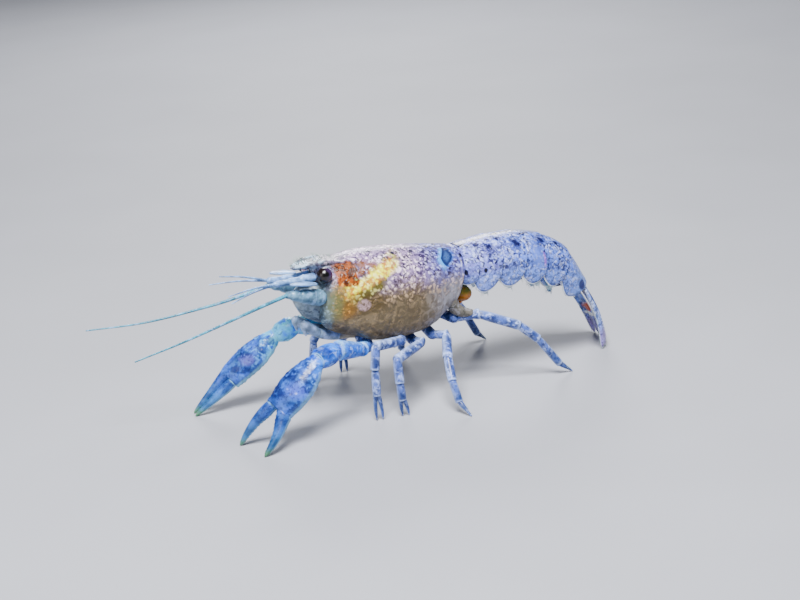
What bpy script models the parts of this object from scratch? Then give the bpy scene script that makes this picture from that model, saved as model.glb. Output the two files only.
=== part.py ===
"""Dwarf crayfish at life size, standing on a flat floor with its claws forward and its tail arched down.

The animal faces -X, its left side is -Y, and the floor is z = 0. Sizes are in millimetres.
Every shape is a loft of rings: shell and tail rings follow the body, limb rings follow the joints.
Touching pieces keep GAP between them.
"""

import math

import bmesh
import bpy
import numpy as np

MM = 0.001
WELD = 1e-7
GAP = 0.3
SHARP_ANGLE = 65
LEFT, RIGHT = -1, 1
SIDE_NAMES = {LEFT: "left", RIGHT: "right"}

# Carapace, at stations along X from the front edge to the rear edge
SHELL_X = (-11.3, -10.9, -10.2, -8.8, -6.8, -4.4, -1.8, 0.4, 2.0, 3.3)
SHELL_TOP = (13.6, 13.98, 14.25, 14.45, 14.6, 14.45, 14.1, 13.7, 13.4, 13.05)
SHELL_RIM_Z = (9.0, 8.45, 8.05, 7.6, 7.2, 6.75, 6.45, 6.75, 7.65, 8.6)
SHELL_HALF_WIDTH = (2.0, 2.5, 2.8, 3.15, 3.5, 3.75, 3.8, 3.65, 3.4, 3.2)
SHELL_RIM_Y = (1.2, 1.6, 1.9, 2.2, 2.45, 2.6, 2.6, 2.5, 2.4, 2.3)
SHELL_RINGS = (-11.3, -11.15, -10.8, -9.9, -9.0, -8.0, -7.0, -6.0, -5.0, -4.1)
SHELL_RINGS += (-3.6, -3.1, -2.2, -1.2, -0.2, 0.8, 1.8, 2.6, 3.3)
SHELL_WIDEST = 0.42
SHELL_RECESS = 1.0
REAR_LEAN = 0.3
GROOVE_X = -3.6
GROOVE_DEPTH = 0.2
GROOVE_SWEEP = 2.6
GROOVE_SPREAD = 3.5

# Rostrum, the flat beak between the eyes
BEAK_X = (-9.2, -10.2, -11.2, -12.0, -12.6, -13.0, -13.3)
BEAK_TOP = (14.3, 14.46, 14.52, 14.46, 14.36, 14.28, 14.2)
BEAK_HALF_WIDTH = (1.3, 1.28, 1.15, 0.95, 0.7, 0.42, 0.12)
BEAK_HALF_DEPTH = (0.6, 0.5, 0.36, 0.3, 0.27, 0.22, 0.12)

# Breast plate between the leg bases
BREAST_X = (-9.4, -7.4, -4.9, -2.8, -0.8, 1.0, 1.9)
BREAST_Z = (7.3, 7.1, 6.75, 6.45, 6.45, 7.15, 7.7)
BREAST_HALF_WIDTH = (0.9, 1.35, 1.5, 1.5, 1.5, 1.3, 0.7)
BREAST_HALF_DEPTH = 0.7
COXA_ROOT_Y = 0.7

# Face block between the feelers
FACE_X = (-11.6, -12.4, -13.2)
FACE_HALF_WIDTH = (0.85, 0.85, 0.7)
FACE_TOP = (12.4, 12.35, 12.2)
FACE_BOTTOM = (8.95, 9.4, 10.4)

# Eyes
EYE_CENTRE = (-10.95, 2.05, 13.52)
EYE_ROOT = (-10.85, 1.15, 13.2)
EYE_RADIUS = 0.68
STALK_RADIUS = 0.48

# Tail: top point (x, z), lean in degrees, half width, at each of the seven borders of the six rings
TAIL_TOP_X = (3.45, 4.75, 7.2, 9.8, 12.3, 14.75, 17.1)
TAIL_TOP_Z = (13.05, 13.08, 13.1, 12.9, 12.2, 10.5, 7.2)
TAIL_LEAN = (16.7, 14.0, 13.0, 14.0, 19.0, 33.0, 60.0)
TAIL_HALF_WIDTH = (2.85, 3.0, 3.1, 3.05, 2.9, 2.6, 2.1)
TAIL_BELLY = (2.9, 2.95, 3.0, 3.0, 2.9, 2.6, 1.9)
TAIL_LOBE = (3.3, 4.35, 4.3, 4.25, 4.0, 3.1)
TAIL_WALL = 0.55
TAIL_STATIONS = (0.0, 0.12, 0.3, 0.5, 0.7, 0.88, 1.0)
TAIL_FLARE = (-0.12, -0.04, 0.0, 0.03, 0.06, 0.1, 0.1)

# Tail fan: blades lie on a cup that hangs from the last ring to the floor
FAN_ROOT = (16.95, 6.55)
FAN_TIP = (19.75, 0.0)
FAN_BOW = 0.35
CUP_ACROSS = (1.95, 2.5)
CUP_DEEP = (0.7, 0.85)
FAN_TWIST = 27.0
BLADE_THICKNESS = 0.5
BLADE_RIDGE = 0.14
BLADE_ROWS = 12
BLADE_COLUMNS = 6

# Limbs: radii in order of the pieces from the body outward
LEG_RADII = (0.4, 0.46, 0.42, 0.37, 0.26)
FOOT_RADIUS = 0.17
JOINT_NECK = 0.86
JOINT_CUT = 0.6
LEG_SIDES = 8
LIMB_ACROSS = (0.13, 0.99, 0.05)
COXA_SIDES = 10

# Walking legs: hip, then each joint down to the toe; the second and third pairs end in small pincers
LEG_JOINTS = {
    ("2", LEFT): (
        (-4.75, -2.35, 5.85),
        (-4.4, -3.4, 6.3),
        (-7.7, -4.7, 6.8),
        (-8.1, -5.0, 4.8),
        (-8.4, -5.3, 0.0),
    ),
    ("3", LEFT): (
        (-2.75, -2.35, 5.7),
        (-2.3, -3.3, 5.6),
        (-5.85, -5.1, 5.25),
        (-6.0, -5.6, 3.2),
        (-6.0, -5.8, 0.0),
    ),
    ("4", LEFT): (
        (-0.65, -2.35, 5.75),
        (0.25, -3.4, 5.8),
        (-1.05, -5.8, 4.65),
        (-1.6, -7.4, 2.9),
        (-1.5, -8.3, 1.15),
        (-1.1, -9.7, 0.0),
    ),
    ("5", LEFT): (
        (1.75, -2.3, 6.8),
        (3.9, -3.2, 7.0),
        (7.4, -4.5, 5.45),
        (9.1, -4.9, 3.9),
        (11.1, -5.3, 1.1),
        (12.4, -5.5, 0.0),
    ),
    ("2", RIGHT): (
        (-4.85, 2.35, 5.85),
        (-5.4, 3.4, 6.2),
        (-8.0, 5.6, 6.4),
        (-8.7, 6.5, 4.5),
        (-9.1, 7.0, 0.0),
    ),
    ("3", RIGHT): (
        (-2.85, 2.35, 5.7),
        (-3.2, 3.4, 5.9),
        (-4.7, 6.5, 5.8),
        (-5.1, 7.6, 3.9),
        (-5.3, 8.1, 0.0),
    ),
    ("4", RIGHT): (
        (-0.75, 2.35, 5.75),
        (-0.5, 3.4, 5.9),
        (0.7, 6.5, 5.4),
        (1.2, 7.7, 3.3),
        (1.5, 8.4, 0.98),
        (2.1, 9.5, 0.0),
    ),
    ("5", RIGHT): (
        (1.7, 2.3, 6.8),
        (3.3, 3.3, 7.0),
        (6.2, 5.4, 5.6),
        (7.7, 6.4, 3.8),
        (9.4, 7.2, 1.1),
        (10.6, 7.6, 0.0),
    ),
}
LEG_COXA_X = {"1": -7.2, "2": -4.9, "3": -2.9, "4": -0.9, "5": 1.0}
PINCER_LEGS = ("2", "3")
PINCER_SPREAD = (0.56, -0.12, 0.0)
PINCER_ROOT = 0.4
FINGER_RADIUS = 0.21

# Claws: hip, arm joint, elbow, wrist, knuckle, then the two finger tips on the floor
CLAW_HIP = {LEFT: (-7.5, -2.3, 6.15), RIGHT: (-7.5, 2.3, 6.2)}
CLAW_BEND = {LEFT: (-8.5, -3.4, 6.35), RIGHT: (-8.6, 3.2, 6.6)}
CLAW_ELBOW = {LEFT: (-11.5, -4.4, 7.2), RIGHT: (-11.4, 3.9, 7.45)}
CLAW_WRIST = {LEFT: (-13.75, -5.15, 6.95), RIGHT: (-13.2, 4.8, 6.55)}
CLAW_KNUCKLE = {LEFT: (-17.8, -5.25, 3.35), RIGHT: (-17.7, 6.0, 3.05)}
FIXED_TIP = {LEFT: (-20.3, -6.9, 0.0), RIGHT: (-21.2, 6.9, 0.0)}
FINGER_TIP = {LEFT: (-20.95, -3.1, 0.0), RIGHT: (-21.4, 6.1, 0.0)}
PALM_ACROSS = {LEFT: (0.33, -0.87, -0.37), RIGHT: (-0.1, 0.8, 0.6)}
ARM_RADII = (0.55, 0.78)
WRIST_RADII = (0.8, 1.0, 0.92)
PALM_SHARES = (0.0, 0.1, 0.25, 0.48, 0.72, 0.9, 1.0)
PALM_HALF_WIDTH = (0.78, 0.98, 1.34, 1.64, 1.64, 1.5, 1.4)
PALM_HALF_DEPTH = (0.66, 0.82, 1.0, 1.1, 1.02, 0.88, 0.74)
PALM_SCALE = {LEFT: 1.0, RIGHT: 0.86}
FINGER_SHARES = (0.04, 0.2, 0.45, 0.72, 0.92)
FINGER_HALF_WIDTH = (0.66, 0.6, 0.48, 0.34, 0.2)
FINGER_HALF_DEPTH = (0.66, 0.54, 0.43, 0.32, 0.2)
FINGER_OFFSET = 0.82
FINGER_BOW = {LEFT: 0.3, RIGHT: 0.04}
HINGE_GAP = 0.2
TIP_RADIUS = 0.13

# Feelers and mouthparts, for the right side; the left side mirrors Y
FEELER_BASE = ((-11.6, 1.95, 11.55), (-12.6, 2.0, 11.85), (-13.6, 1.98, 12.15), (-14.5, 1.95, 12.4))
FEELER_BASE_RADII = (0.72, 0.7, 0.5, 0.4)
FEELER = {
    LEFT: (
        (-14.8, -2.0, 12.45),
        (-17.5, -2.55, 12.1),
        (-20.4, -3.2, 11.75),
        (-25.7, -4.6, 11.25),
        (-31.0, -6.6, 11.2),
    ),
    RIGHT: (
        (-14.8, 2.05, 12.35),
        (-17.6, 2.8, 11.6),
        (-20.4, 3.5, 11.1),
        (-25.6, 5.0, 10.4),
        (-30.5, 7.2, 10.1),
    ),
}
FEELER_RADII = (0.3, 0.17)
SCALE_ROOT = (-11.9, 2.2, 12.97)
SCALE_TIP = (-14.4, 2.15, 13.38)
SCALE_HALF_WIDTH = 0.55
SCALE_HALF_DEPTH = 0.24
SMALL_FEELER_BASE = ((-11.6, 0.55, 13.1), (-12.8, 0.58, 13.1), (-14.2, 0.66, 13.15), (-15.4, 0.75, 13.25))
SMALL_FEELER_RADII = (0.37, 0.34, 0.36, 0.3)
SMALL_FEELER_TIPS = {
    LEFT: ((-20.3, -2.1, 13.5), (-19.7, -1.2, 12.5)),
    RIGHT: ((-19.9, 0.6, 14.6), (-20.4, 2.0, 13.6)),
}
MOUTH_LEG = ((-9.8, 0.75, 7.2), (-11.4, 0.8, 7.85), (-12.95, 0.88, 9.1), (-12.75, 0.92, 7.9))
MOUTH_LEG_RADII = (0.5, 0.5, 0.36)

# Swimming legs under the tail, and the pair of rods under its first ring
SWIMMER_Y = 1.25
SWIMMER_DEPTHS = (2.3, 3.4, 4.2, 4.9)
SWIMMER_RADII = ((0.3, 0.34, 0.42, 0.2), (0.28, 0.28, 0.26, 0.2))
SWIMMER_TRAIL = 0.32
SWIMMER_SPREAD = 0.55
ROD_PATH = ((3.6, 0.58, 10.6), (3.9, 0.6, 9.0), (3.8, 0.55, 8.0), (3.35, 0.5, 7.5))
ROD_RADII = (0.42, 0.38, 0.34, 0.22)

COLOURS = {
    "shell": ((0.62, 0.6, 0.66), 0.35),
    "breast": ((0.6, 0.56, 0.5), 0.4),
    "tail": ((0.52, 0.6, 0.74), 0.35),
    "claw": ((0.28, 0.45, 0.75), 0.3),
    "leg": ((0.42, 0.55, 0.85), 0.3),
    "feeler": ((0.6, 0.78, 0.85), 0.3),
    "eye": ((0.03, 0.015, 0.03), 0.1),
}


def through(keys, values, at):
    """A smooth curve through the values at the keys, which never overshoots them."""
    keys, values = np.asarray(keys, float), np.asarray(values, float)
    at = np.clip(np.asarray(at, float), keys[0], keys[-1])
    step = np.diff(keys)
    slope = np.diff(values) / step
    product = slope[:-1] * slope[1:]
    total = np.where(product > 0, slope[:-1] + slope[1:], 1.0)
    inner = np.where(product > 0, 2.0 * product / total, 0.0)
    tangent = np.concatenate([slope[:1], inner, slope[-1:]])
    i = np.clip(np.searchsorted(keys, at, side="right") - 1, 0, len(step) - 1)
    t = (at - keys[i]) / step[i]
    rise = values[i + 1] - values[i]
    bend = tangent[i] * (1 - t) - tangent[i + 1] * t
    return values[i] + rise * t * t * (3 - 2 * t) + step[i] * t * (1 - t) * bend


def unit(vector):
    vector = np.asarray(vector, float)
    return vector / np.linalg.norm(vector, axis=-1, keepdims=True)


def mirrored(points, side):
    """Points given for the right side, moved to the side that is asked for."""
    return np.asarray(points, float) * (1.0, side, 1.0)


def rings_along(path, half_width, half_depth, across, sides, directions=None):
    """Ellipses set square to a path, with their width as near as can be to the given direction."""
    path = np.asarray(path, float)
    along = np.gradient(path, axis=0) if directions is None else np.asarray(directions, float)
    along = unit(along)
    across = np.broadcast_to(np.asarray(across, float), path.shape)
    wide = unit(across - np.sum(across * along, axis=1, keepdims=True) * along)
    deep = np.cross(along, wide)
    turn = 2 * math.pi * np.arange(sides) / sides
    half_width = np.broadcast_to(half_width, len(path))[:, None, None]
    half_depth = np.broadcast_to(half_depth, len(path))[:, None, None]
    spread = half_width * np.cos(turn)[None, :, None] * wide[:, None]
    rise = half_depth * np.sin(turn)[None, :, None] * deep[:, None]
    return path[:, None] + spread + rise


def lofted(rings):
    """Points and triangles of the closed body through the rings, each end closed round its middle."""
    rings = np.asarray(rings, float)
    count, sides = rings.shape[:2]
    points = np.vstack([rings.reshape(-1, 3), rings[0].mean(0), rings[-1].mean(0)])
    faces = []
    for row in range(count - 1):
        for j in range(sides):
            k = (j + 1) % sides
            a, b, c, d = row * sides + j, row * sides + k, (row + 1) * sides + k, (row + 1) * sides + j
            faces += [(a, b, c), (a, c, d)]
    first, last, end = count * sides, count * sides + 1, (count - 1) * sides
    for j in range(sides):
        k = (j + 1) % sides
        faces += [(first, k, j), (last, end + j, end + k)]
    return points, faces


def plate(top, bottom):
    """Points and triangles of a thin plate between two grids, cut into like triangles on both faces."""
    rows, columns = top.shape[:2]
    points = np.vstack([top.reshape(-1, 3), bottom.reshape(-1, 3)])
    size = rows * columns
    faces = []
    for i in range(rows - 1):
        for j in range(columns - 1):
            a, b = i * columns + j, i * columns + j + 1
            c, d = b + columns, a + columns
            faces += [(a, b, c), (a, c, d), (a + size, c + size, b + size), (a + size, d + size, c + size)]
    edge = [j for j in range(columns)]
    edge += [i * columns + columns - 1 for i in range(1, rows)]
    edge += [(rows - 1) * columns + j for j in range(columns - 2, -1, -1)]
    edge += [i * columns for i in range(rows - 2, 0, -1)]
    for here, there in zip(edge, edge[1:] + edge[:1]):
        faces += [(here, there + size, there), (here, here + size, there + size)]
    return points, faces


def material(finish):
    """One Principled material for each finish."""
    found = bpy.data.materials.get(finish)
    if found:
        return found
    colour, roughness = COLOURS[finish]
    made = bpy.data.materials.new(finish)
    made.use_nodes = True
    shader = made.node_tree.nodes["Principled BSDF"]
    shader.inputs["Base Color"].default_value = (*colour, 1.0)
    shader.inputs["Roughness"].default_value = roughness
    shader.inputs["Metallic"].default_value = 0.0
    made.diffuse_color = (*colour, 1.0)
    return made


def mesh_object(name, shape):
    """A mesh object in metres with its faces pointing out."""
    points, faces = shape
    mesh = bpy.data.meshes.new(name)
    mesh.from_pydata((np.asarray(points) * MM).tolist(), [], [tuple(int(i) for i in f) for f in faces])
    work = bmesh.new()
    work.from_mesh(mesh)
    bmesh.ops.recalc_face_normals(work, faces=work.faces)
    work.to_mesh(mesh)
    work.free()
    return bpy.data.objects.new(name, mesh)


def largest_shell(mesh):
    """Leaves only the largest closed surface of a mesh, and says whether it is closed."""
    work = bmesh.new()
    work.from_mesh(mesh)
    bmesh.ops.remove_doubles(work, verts=work.verts, dist=WELD)
    bmesh.ops.dissolve_degenerate(work, edges=work.edges, dist=WELD)
    bmesh.ops.triangulate(work, faces=work.faces)
    left, shells = set(work.faces), []
    while left:
        reached, front = set(), [left.pop()]
        while front:
            face = front.pop()
            reached.add(face)
            for edge in face.edges:
                for other in edge.link_faces:
                    if other in left:
                        left.remove(other)
                        front.append(other)
        shells.append(reached)
    keep = max(shells, key=lambda shell: sum(face.calc_area() for face in shell))
    bmesh.ops.delete(work, geom=[face for face in work.faces if face not in keep], context="FACES")
    closed = all(edge.is_manifold for edge in work.edges)
    work.to_mesh(mesh)
    work.free()
    return closed


def combined(body, others, operation):
    """Joins the other shapes to the body, or cuts them from it, in one Boolean."""
    group = bpy.data.collections.new("operands")
    for number, shape in enumerate(others):
        group.objects.link(mesh_object(f"operand_{number}", shape))
    bpy.context.scene.collection.objects.link(body)
    change = body.modifiers.new("combine", "BOOLEAN")
    change.operation = operation
    change.operand_type = "COLLECTION"
    change.collection = group
    for solver in ("EXACT", "MANIFOLD"):
        change.solver = solver
        bpy.context.view_layer.update()
        evaluated = body.evaluated_get(bpy.context.evaluated_depsgraph_get())
        mesh = bpy.data.meshes.new_from_object(evaluated)
        if largest_shell(mesh):
            break
    body.modifiers.remove(change)
    body.data = mesh
    for operand in list(group.objects):
        bpy.data.objects.remove(operand)
    bpy.data.collections.remove(group)
    bpy.context.scene.collection.objects.unlink(body)
    return body


def add_node(name, finish, shape, joined=(), cut=()):
    """One named sub-part of the animal, with the shapes fused to it and cut from it."""
    body = mesh_object(name, shape)
    if joined:
        body = combined(body, joined, "UNION")
    if cut:
        body = combined(body, cut, "DIFFERENCE")
    body.name = name
    body.data.materials.clear()
    body.data.materials.append(material(finish))
    body.data.shade_smooth()
    body.data.set_sharp_from_angle(angle=math.radians(SHARP_ANGLE))
    bpy.context.scene.collection.objects.link(body)
    return body


# Carapace


def shell_ring(station, arc_points):
    """One closed ring of the carapace: the outer arch from rim to rim, then the hollow underside."""
    top = through(SHELL_X, SHELL_TOP, station)
    rim_z = through(SHELL_X, SHELL_RIM_Z, station)
    half_width = through(SHELL_X, SHELL_HALF_WIDTH, station)
    rim_y = through(SHELL_X, SHELL_RIM_Y, station)
    widest = rim_z + SHELL_WIDEST * (top - rim_z)
    turn = np.linspace(0.0, math.pi, arc_points)
    swing = np.cos(turn)
    level = np.where(swing > 0, widest + (top - widest) * np.abs(swing) ** 0.92, 0.0)
    level = np.where(swing > 0, level, widest - (widest - rim_z) * np.abs(swing) ** 0.8)
    breadth = np.where(
        swing > 0,
        half_width * np.sin(turn) ** 0.95,
        rim_y + (half_width - rim_y) * np.sin(turn) ** 0.8,
    )
    near = np.stack([breadth, level], 1)
    hollow = np.array([[0.72 * rim_y, rim_z + 0.9 * SHELL_RECESS], [0.36 * rim_y, rim_z + SHELL_RECESS]])
    middle = np.array([[0.0, rim_z + SHELL_RECESS]])
    flip = np.array([-1.0, 1.0])
    section = np.vstack([near, hollow, middle, (hollow * flip)[::-1], (near[1:] * flip)[::-1]])
    depth = (top - section[:, 1]) / (top - rim_z)
    weight = math.exp(-(((station - GROOVE_X) / GROOVE_SPREAD) ** 2))
    sweep = -GROOVE_SWEEP * np.clip(depth, 0, 1) ** 1.3 * weight
    lean = REAR_LEAN * through((-2.0, 3.3), (0.0, 1.0), station) * (top - section[:, 1])
    inward = GROOVE_DEPTH * math.exp(-(((station - GROOVE_X) / 0.3) ** 2))
    share = 1.0 - inward / half_width
    y = section[:, 0] * share
    z = widest + (section[:, 1] - widest) * np.where(section[:, 1] > widest, share, 1.0)
    return np.stack([station + sweep - lean, y, z], 1)


def eye_rings(side, extra=0.0):
    """Stalk and cornea of one eye; extra makes the larger form that clears the socket."""
    root, centre = mirrored(EYE_ROOT, side), mirrored(EYE_CENTRE, side)
    way = unit(centre - root)
    reach = np.linalg.norm(centre - root)
    start = -extra
    turns = np.radians([-35, -12, 12, 36, 60, 80])
    places = [start, 0.35 * reach] + list(reach + (EYE_RADIUS + extra) * np.sin(turns))
    radii = [STALK_RADIUS + extra, STALK_RADIUS + extra] + list((EYE_RADIUS + extra) * np.cos(turns))
    path = root + np.outer(places, way)
    return rings_along(path, radii, radii, (0, 0, 1), 12, directions=np.tile(way, (len(path), 1)))


def make_head():
    """Carapace with its beak and eye sockets, the face block and the eyes."""
    beak = rings_along(
        np.stack([BEAK_X, np.zeros(len(BEAK_X)), np.subtract(BEAK_TOP, BEAK_HALF_DEPTH)], 1),
        BEAK_HALF_WIDTH,
        BEAK_HALF_DEPTH,
        (0, 1, 0),
        10,
        directions=np.tile((-1.0, 0.0, 0.0), (len(BEAK_X), 1)),
    )
    shell = lofted([shell_ring(station, 12) for station in SHELL_RINGS])
    sockets = [lofted(eye_rings(side, GAP)) for side in (LEFT, RIGHT)]
    add_node("carapace", "shell", shell, joined=[lofted(beak)], cut=sockets)
    half_depth = np.subtract(FACE_TOP, FACE_BOTTOM) / 2
    face_path = np.stack([FACE_X, np.zeros(3), np.add(FACE_TOP, FACE_BOTTOM) / 2], 1)
    ahead = np.tile((-1.0, 0.0, 0.0), (3, 1))
    face = rings_along(face_path, FACE_HALF_WIDTH, half_depth, (0, 1, 0), 12, directions=ahead)
    add_node("face", "breast", lofted(face))
    for side in (LEFT, RIGHT):
        add_node(f"eye_{SIDE_NAMES[side]}", "eye", lofted(eye_rings(side)))


def make_breast():
    """Breast plate with the ten leg bases."""
    path = np.stack([BREAST_X, np.zeros(len(BREAST_X)), BREAST_Z], 1)
    along = np.tile((1.0, 0.0, 0.0), (len(BREAST_X), 1))
    plate_rings = rings_along(path, BREAST_HALF_WIDTH, BREAST_HALF_DEPTH, (0, 1, 0), 12, directions=along)
    stubs = []
    for (pair, side), joints in LEG_JOINTS.items():
        stubs.append(coxa(pair, side, joints[0], joints[1], LEG_RADII[0]))
    for side in (LEFT, RIGHT):
        stubs.append(coxa("1", side, CLAW_HIP[side], CLAW_BEND[side], ARM_RADII[0]))
    add_node("breast_plate", "breast", lofted(plate_rings), joined=stubs)


def coxa(pair, side, hip, after, radius):
    """Short base of one leg, from inside the breast plate to its hip, with its end square to the leg."""
    x = LEG_COXA_X[pair]
    root = np.array([x, side * COXA_ROOT_Y, through(BREAST_X, BREAST_Z, x)])
    hip, after = np.asarray(hip, float), np.asarray(after, float)
    middle = 0.45 * root + 0.55 * hip
    ways = [hip - root, unit(hip - root) + unit(after - hip), after - hip]
    radii = np.array([1.0, 1.15, 1.0]) * radius
    return lofted(rings_along([root, middle, hip], radii, radii, (0, 0, 1), COXA_SIDES, directions=ways))


# Limbs


def limb_rings(joints, radii, foot=None, cut=JOINT_CUT):
    """Rings along a jointed limb, as one list for each piece between joints.

    Each piece swells towards its far end, and a narrower ring stands on the bisector of each joint.
    """
    joints = np.asarray(joints, float)
    ways = unit(np.diff(joints, axis=0))
    lengths = np.linalg.norm(np.diff(joints, axis=0), axis=1)
    centres, directions, sizes, breaks = [], [], [], []
    last = len(ways) - 1
    for i, (way, length, radius) in enumerate(zip(ways, lengths, radii)):
        start = 0.0 if i == 0 else cut
        end = length if i == last else length - cut
        shares = (0.0, 0.4, 0.75, 1.0)
        swell = (0.9, 0.92, 1.0, 1.02)
        if i == last and foot is not None:
            swell = (0.95, 0.9, 0.8, foot / radius)
        for share, growth in zip(shares, swell):
            centres.append(joints[i] + way * (start + share * (end - start)))
            directions.append(way)
            sizes.append(radius * growth)
        if i < last:
            corner = joints[i + 1] + 0.25 * cut * (ways[i + 1] - way)
            breaks.append(len(centres))
            centres.append(corner)
            directions.append(way + ways[i + 1])
            sizes.append(JOINT_NECK * min(radius, radii[i + 1]))
    if foot is not None:
        directions[-1] = np.array([0.0, 0.0, -1.0]) + 0.001 * ways[-1]
    return np.array(centres), unit(directions), np.array(sizes), breaks


def limb_piece(name, finish, limb, first, stop, gaps, sides=LEG_SIDES, joined=()):
    """The node between two rings of a limb, drawn back from the joint planes at both ends."""
    centres, directions, sizes, _ = limb
    chosen = slice(first, stop)
    path, ways, radii = centres[chosen].copy(), directions[chosen], sizes[chosen]
    path[0] += ways[0] * gaps[0]
    path[-1] -= ways[-1] * gaps[1]
    rings = rings_along(path, radii, radii, LIMB_ACROSS, sides, directions=ways)
    return add_node(name, finish, lofted(rings), joined=joined)


def make_legs():
    """Four pairs of walking legs, each an upper piece to the knee and a lower piece to the toe."""
    for (pair, side), joints in LEG_JOINTS.items():
        radii = LEG_RADII[: len(joints) - 1] if len(joints) > 5 else (*LEG_RADII[:3], 0.36)
        limb = limb_rings(joints, radii, foot=FOOT_RADIUS)
        knee = limb[3][1]
        tail = f"{pair}_{{}}_{SIDE_NAMES[side]}"
        pincer = [pincer_finger(joints)] if pair in PINCER_LEGS else []
        limb_piece("leg_" + tail.format("upper"), "leg", limb, 0, knee + 1, (GAP, GAP / 2))
        lower = "leg_" + tail.format("lower")
        limb_piece(lower, "leg", limb, knee, len(limb[0]), (GAP / 2, 0.0), joined=pincer)


def pincer_finger(joints):
    """The second finger of a small pincer: it leaves the hand and comes down beside the first."""
    wrist, toe = np.asarray(joints[-2], float), np.asarray(joints[-1], float)
    beside = toe + PINCER_SPREAD
    root = wrist + PINCER_ROOT * (toe - wrist)
    bow = 0.45 * root + 0.55 * beside + 0.3 * np.asarray(PINCER_SPREAD)
    down = (0.0, 0.0, -1.0)
    ways = [bow - root, beside - root, down]
    radii = (FINGER_RADIUS, FINGER_RADIUS, FOOT_RADIUS * 0.8)
    return lofted(rings_along([root, bow, beside], radii, radii, LIMB_ACROSS, 7, directions=ways))


# Claws


def make_claws():
    """Arm, wrist, hand and movable finger of each claw."""
    for side in (LEFT, RIGHT):
        name = SIDE_NAMES[side]
        joints = (CLAW_HIP[side], CLAW_BEND[side], CLAW_ELBOW[side], CLAW_WRIST[side], CLAW_KNUCKLE[side])
        limb = limb_rings(joints, (*ARM_RADII, 0.95, 0.9))
        centres, directions, sizes, breaks = limb
        elbow, wrist = breaks[1], breaks[2]
        sizes[elbow + 1 : wrist] = np.array(WRIST_RADII)[[0, 1, 1, 2]]
        limb_piece(f"claw_arm_{name}", "claw", limb, 0, elbow + 1, (GAP, GAP / 2), sides=10)
        limb_piece(f"claw_wrist_{name}", "claw", limb, elbow, wrist + 1, (GAP / 2, GAP / 2), sides=12)
        make_hand(side, centres[wrist], directions[wrist])


def make_hand(side, wrist, wrist_way):
    """Palm with its fixed finger, and the movable finger on the inner side."""
    name = SIDE_NAMES[side]
    knuckle = np.asarray(CLAW_KNUCKLE[side], float)
    start = wrist + wrist_way * GAP / 2
    way = unit(knuckle - start)
    across = np.asarray(PALM_ACROSS[side], float)
    across = unit(across - across.dot(way) * way)
    shares = np.array(PALM_SHARES)[:, None]
    palm = start + shares * (knuckle - start)
    palm_ways = unit(wrist_way + (way - wrist_way) * np.clip(shares * 5, 0, 1))
    offset = FINGER_OFFSET * PALM_SCALE[side]
    fixed, fixed_ways = finger_path(side, knuckle, way, across, offset, FIXED_TIP[side])
    path = np.vstack([palm, fixed])
    ways = np.vstack([palm_ways, fixed_ways])
    scale = PALM_SCALE[side]
    widths = np.concatenate([PALM_HALF_WIDTH, FINGER_HALF_WIDTH, [TIP_RADIUS]])
    depths = np.concatenate([PALM_HALF_DEPTH, FINGER_HALF_DEPTH, [TIP_RADIUS]])
    palm_rings = rings_along(path, widths * scale, depths * scale, across, 14, directions=ways)
    add_node(f"claw_hand_{name}", "claw", lofted(palm_rings))
    hinge = knuckle + way * HINGE_GAP
    moving, moving_ways = finger_path(side, hinge, way, across, -offset, FINGER_TIP[side])
    widths = np.append(FINGER_HALF_WIDTH, TIP_RADIUS) * scale
    depths = np.append(FINGER_HALF_DEPTH, TIP_RADIUS) * scale
    finger_rings = rings_along(moving, widths, depths, across, 10, directions=moving_ways)
    add_node(f"claw_finger_{name}", "claw", lofted(finger_rings))


def finger_path(side, knuckle, way, across, offset, tip):
    """Centres and directions of a finger that leaves the palm straight and bows outward before its tip."""
    root, tip = knuckle + across * offset, np.asarray(tip, float)
    shares = np.array((*FINGER_SHARES, 1.0))[:, None]
    bow = across * math.copysign(FINGER_BOW[side], offset) * np.sin(math.pi * shares)
    path = root + shares * (tip - root) + bow
    ways = unit(np.gradient(path, axis=0))
    ways[0] = way
    ways[-1] = (0.0, 0.0, -1.0)
    return path, ways


# Feelers and mouthparts


def make_feelers():
    """Long and short feelers, their bases, the leaf-shaped scales and the mouth legs."""
    for side in (LEFT, RIGHT):
        name = SIDE_NAMES[side]
        base = mirrored(FEELER_BASE, side)
        ahead = np.tile((-1.0, 0.0, 0.12), (4, 1))
        base_rings = rings_along(base, FEELER_BASE_RADII, FEELER_BASE_RADII, (0, 1, 0), 10, ahead)
        add_node(f"antenna_base_{name}", "feeler", lofted(base_rings))
        path = smooth_path(FEELER[side], 14)
        radii = np.linspace(*FEELER_RADII, 14)
        add_node(f"antenna_{name}", "feeler", lofted(rings_along(path, radii, radii, (0, 1, 0), 7)))
        add_node(f"antenna_scale_{name}", "feeler", leaf(side))
        base = mirrored(SMALL_FEELER_BASE, side)
        twigs = [twig(base[-1], tip) for tip in SMALL_FEELER_TIPS[side]]
        ahead = np.tile((-1.0, 0.0, 0.0), (4, 1))
        base_rings = rings_along(base, SMALL_FEELER_RADII, SMALL_FEELER_RADII, (0, 1, 0), 9, ahead)
        add_node(f"antennule_{name}", "feeler", lofted(base_rings), joined=twigs)
        joints = mirrored(MOUTH_LEG, side)
        limb = limb_rings(joints, MOUTH_LEG_RADII, cut=0.5)
        limb[2][-2:] = (0.26, 0.15)
        limb_piece(f"maxilliped_{name}", "breast", limb, 0, len(limb[0]), (0.0, 0.0))


def smooth_path(points, count):
    """Points evenly spread along the smooth curve through a few given points."""
    points = np.asarray(points, float)
    reach = np.concatenate([[0], np.cumsum(np.linalg.norm(np.diff(points, axis=0), axis=1))])
    at = np.linspace(0, reach[-1], count)
    return np.stack([through(reach, points[:, axis], at) for axis in range(3)], 1)


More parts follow.
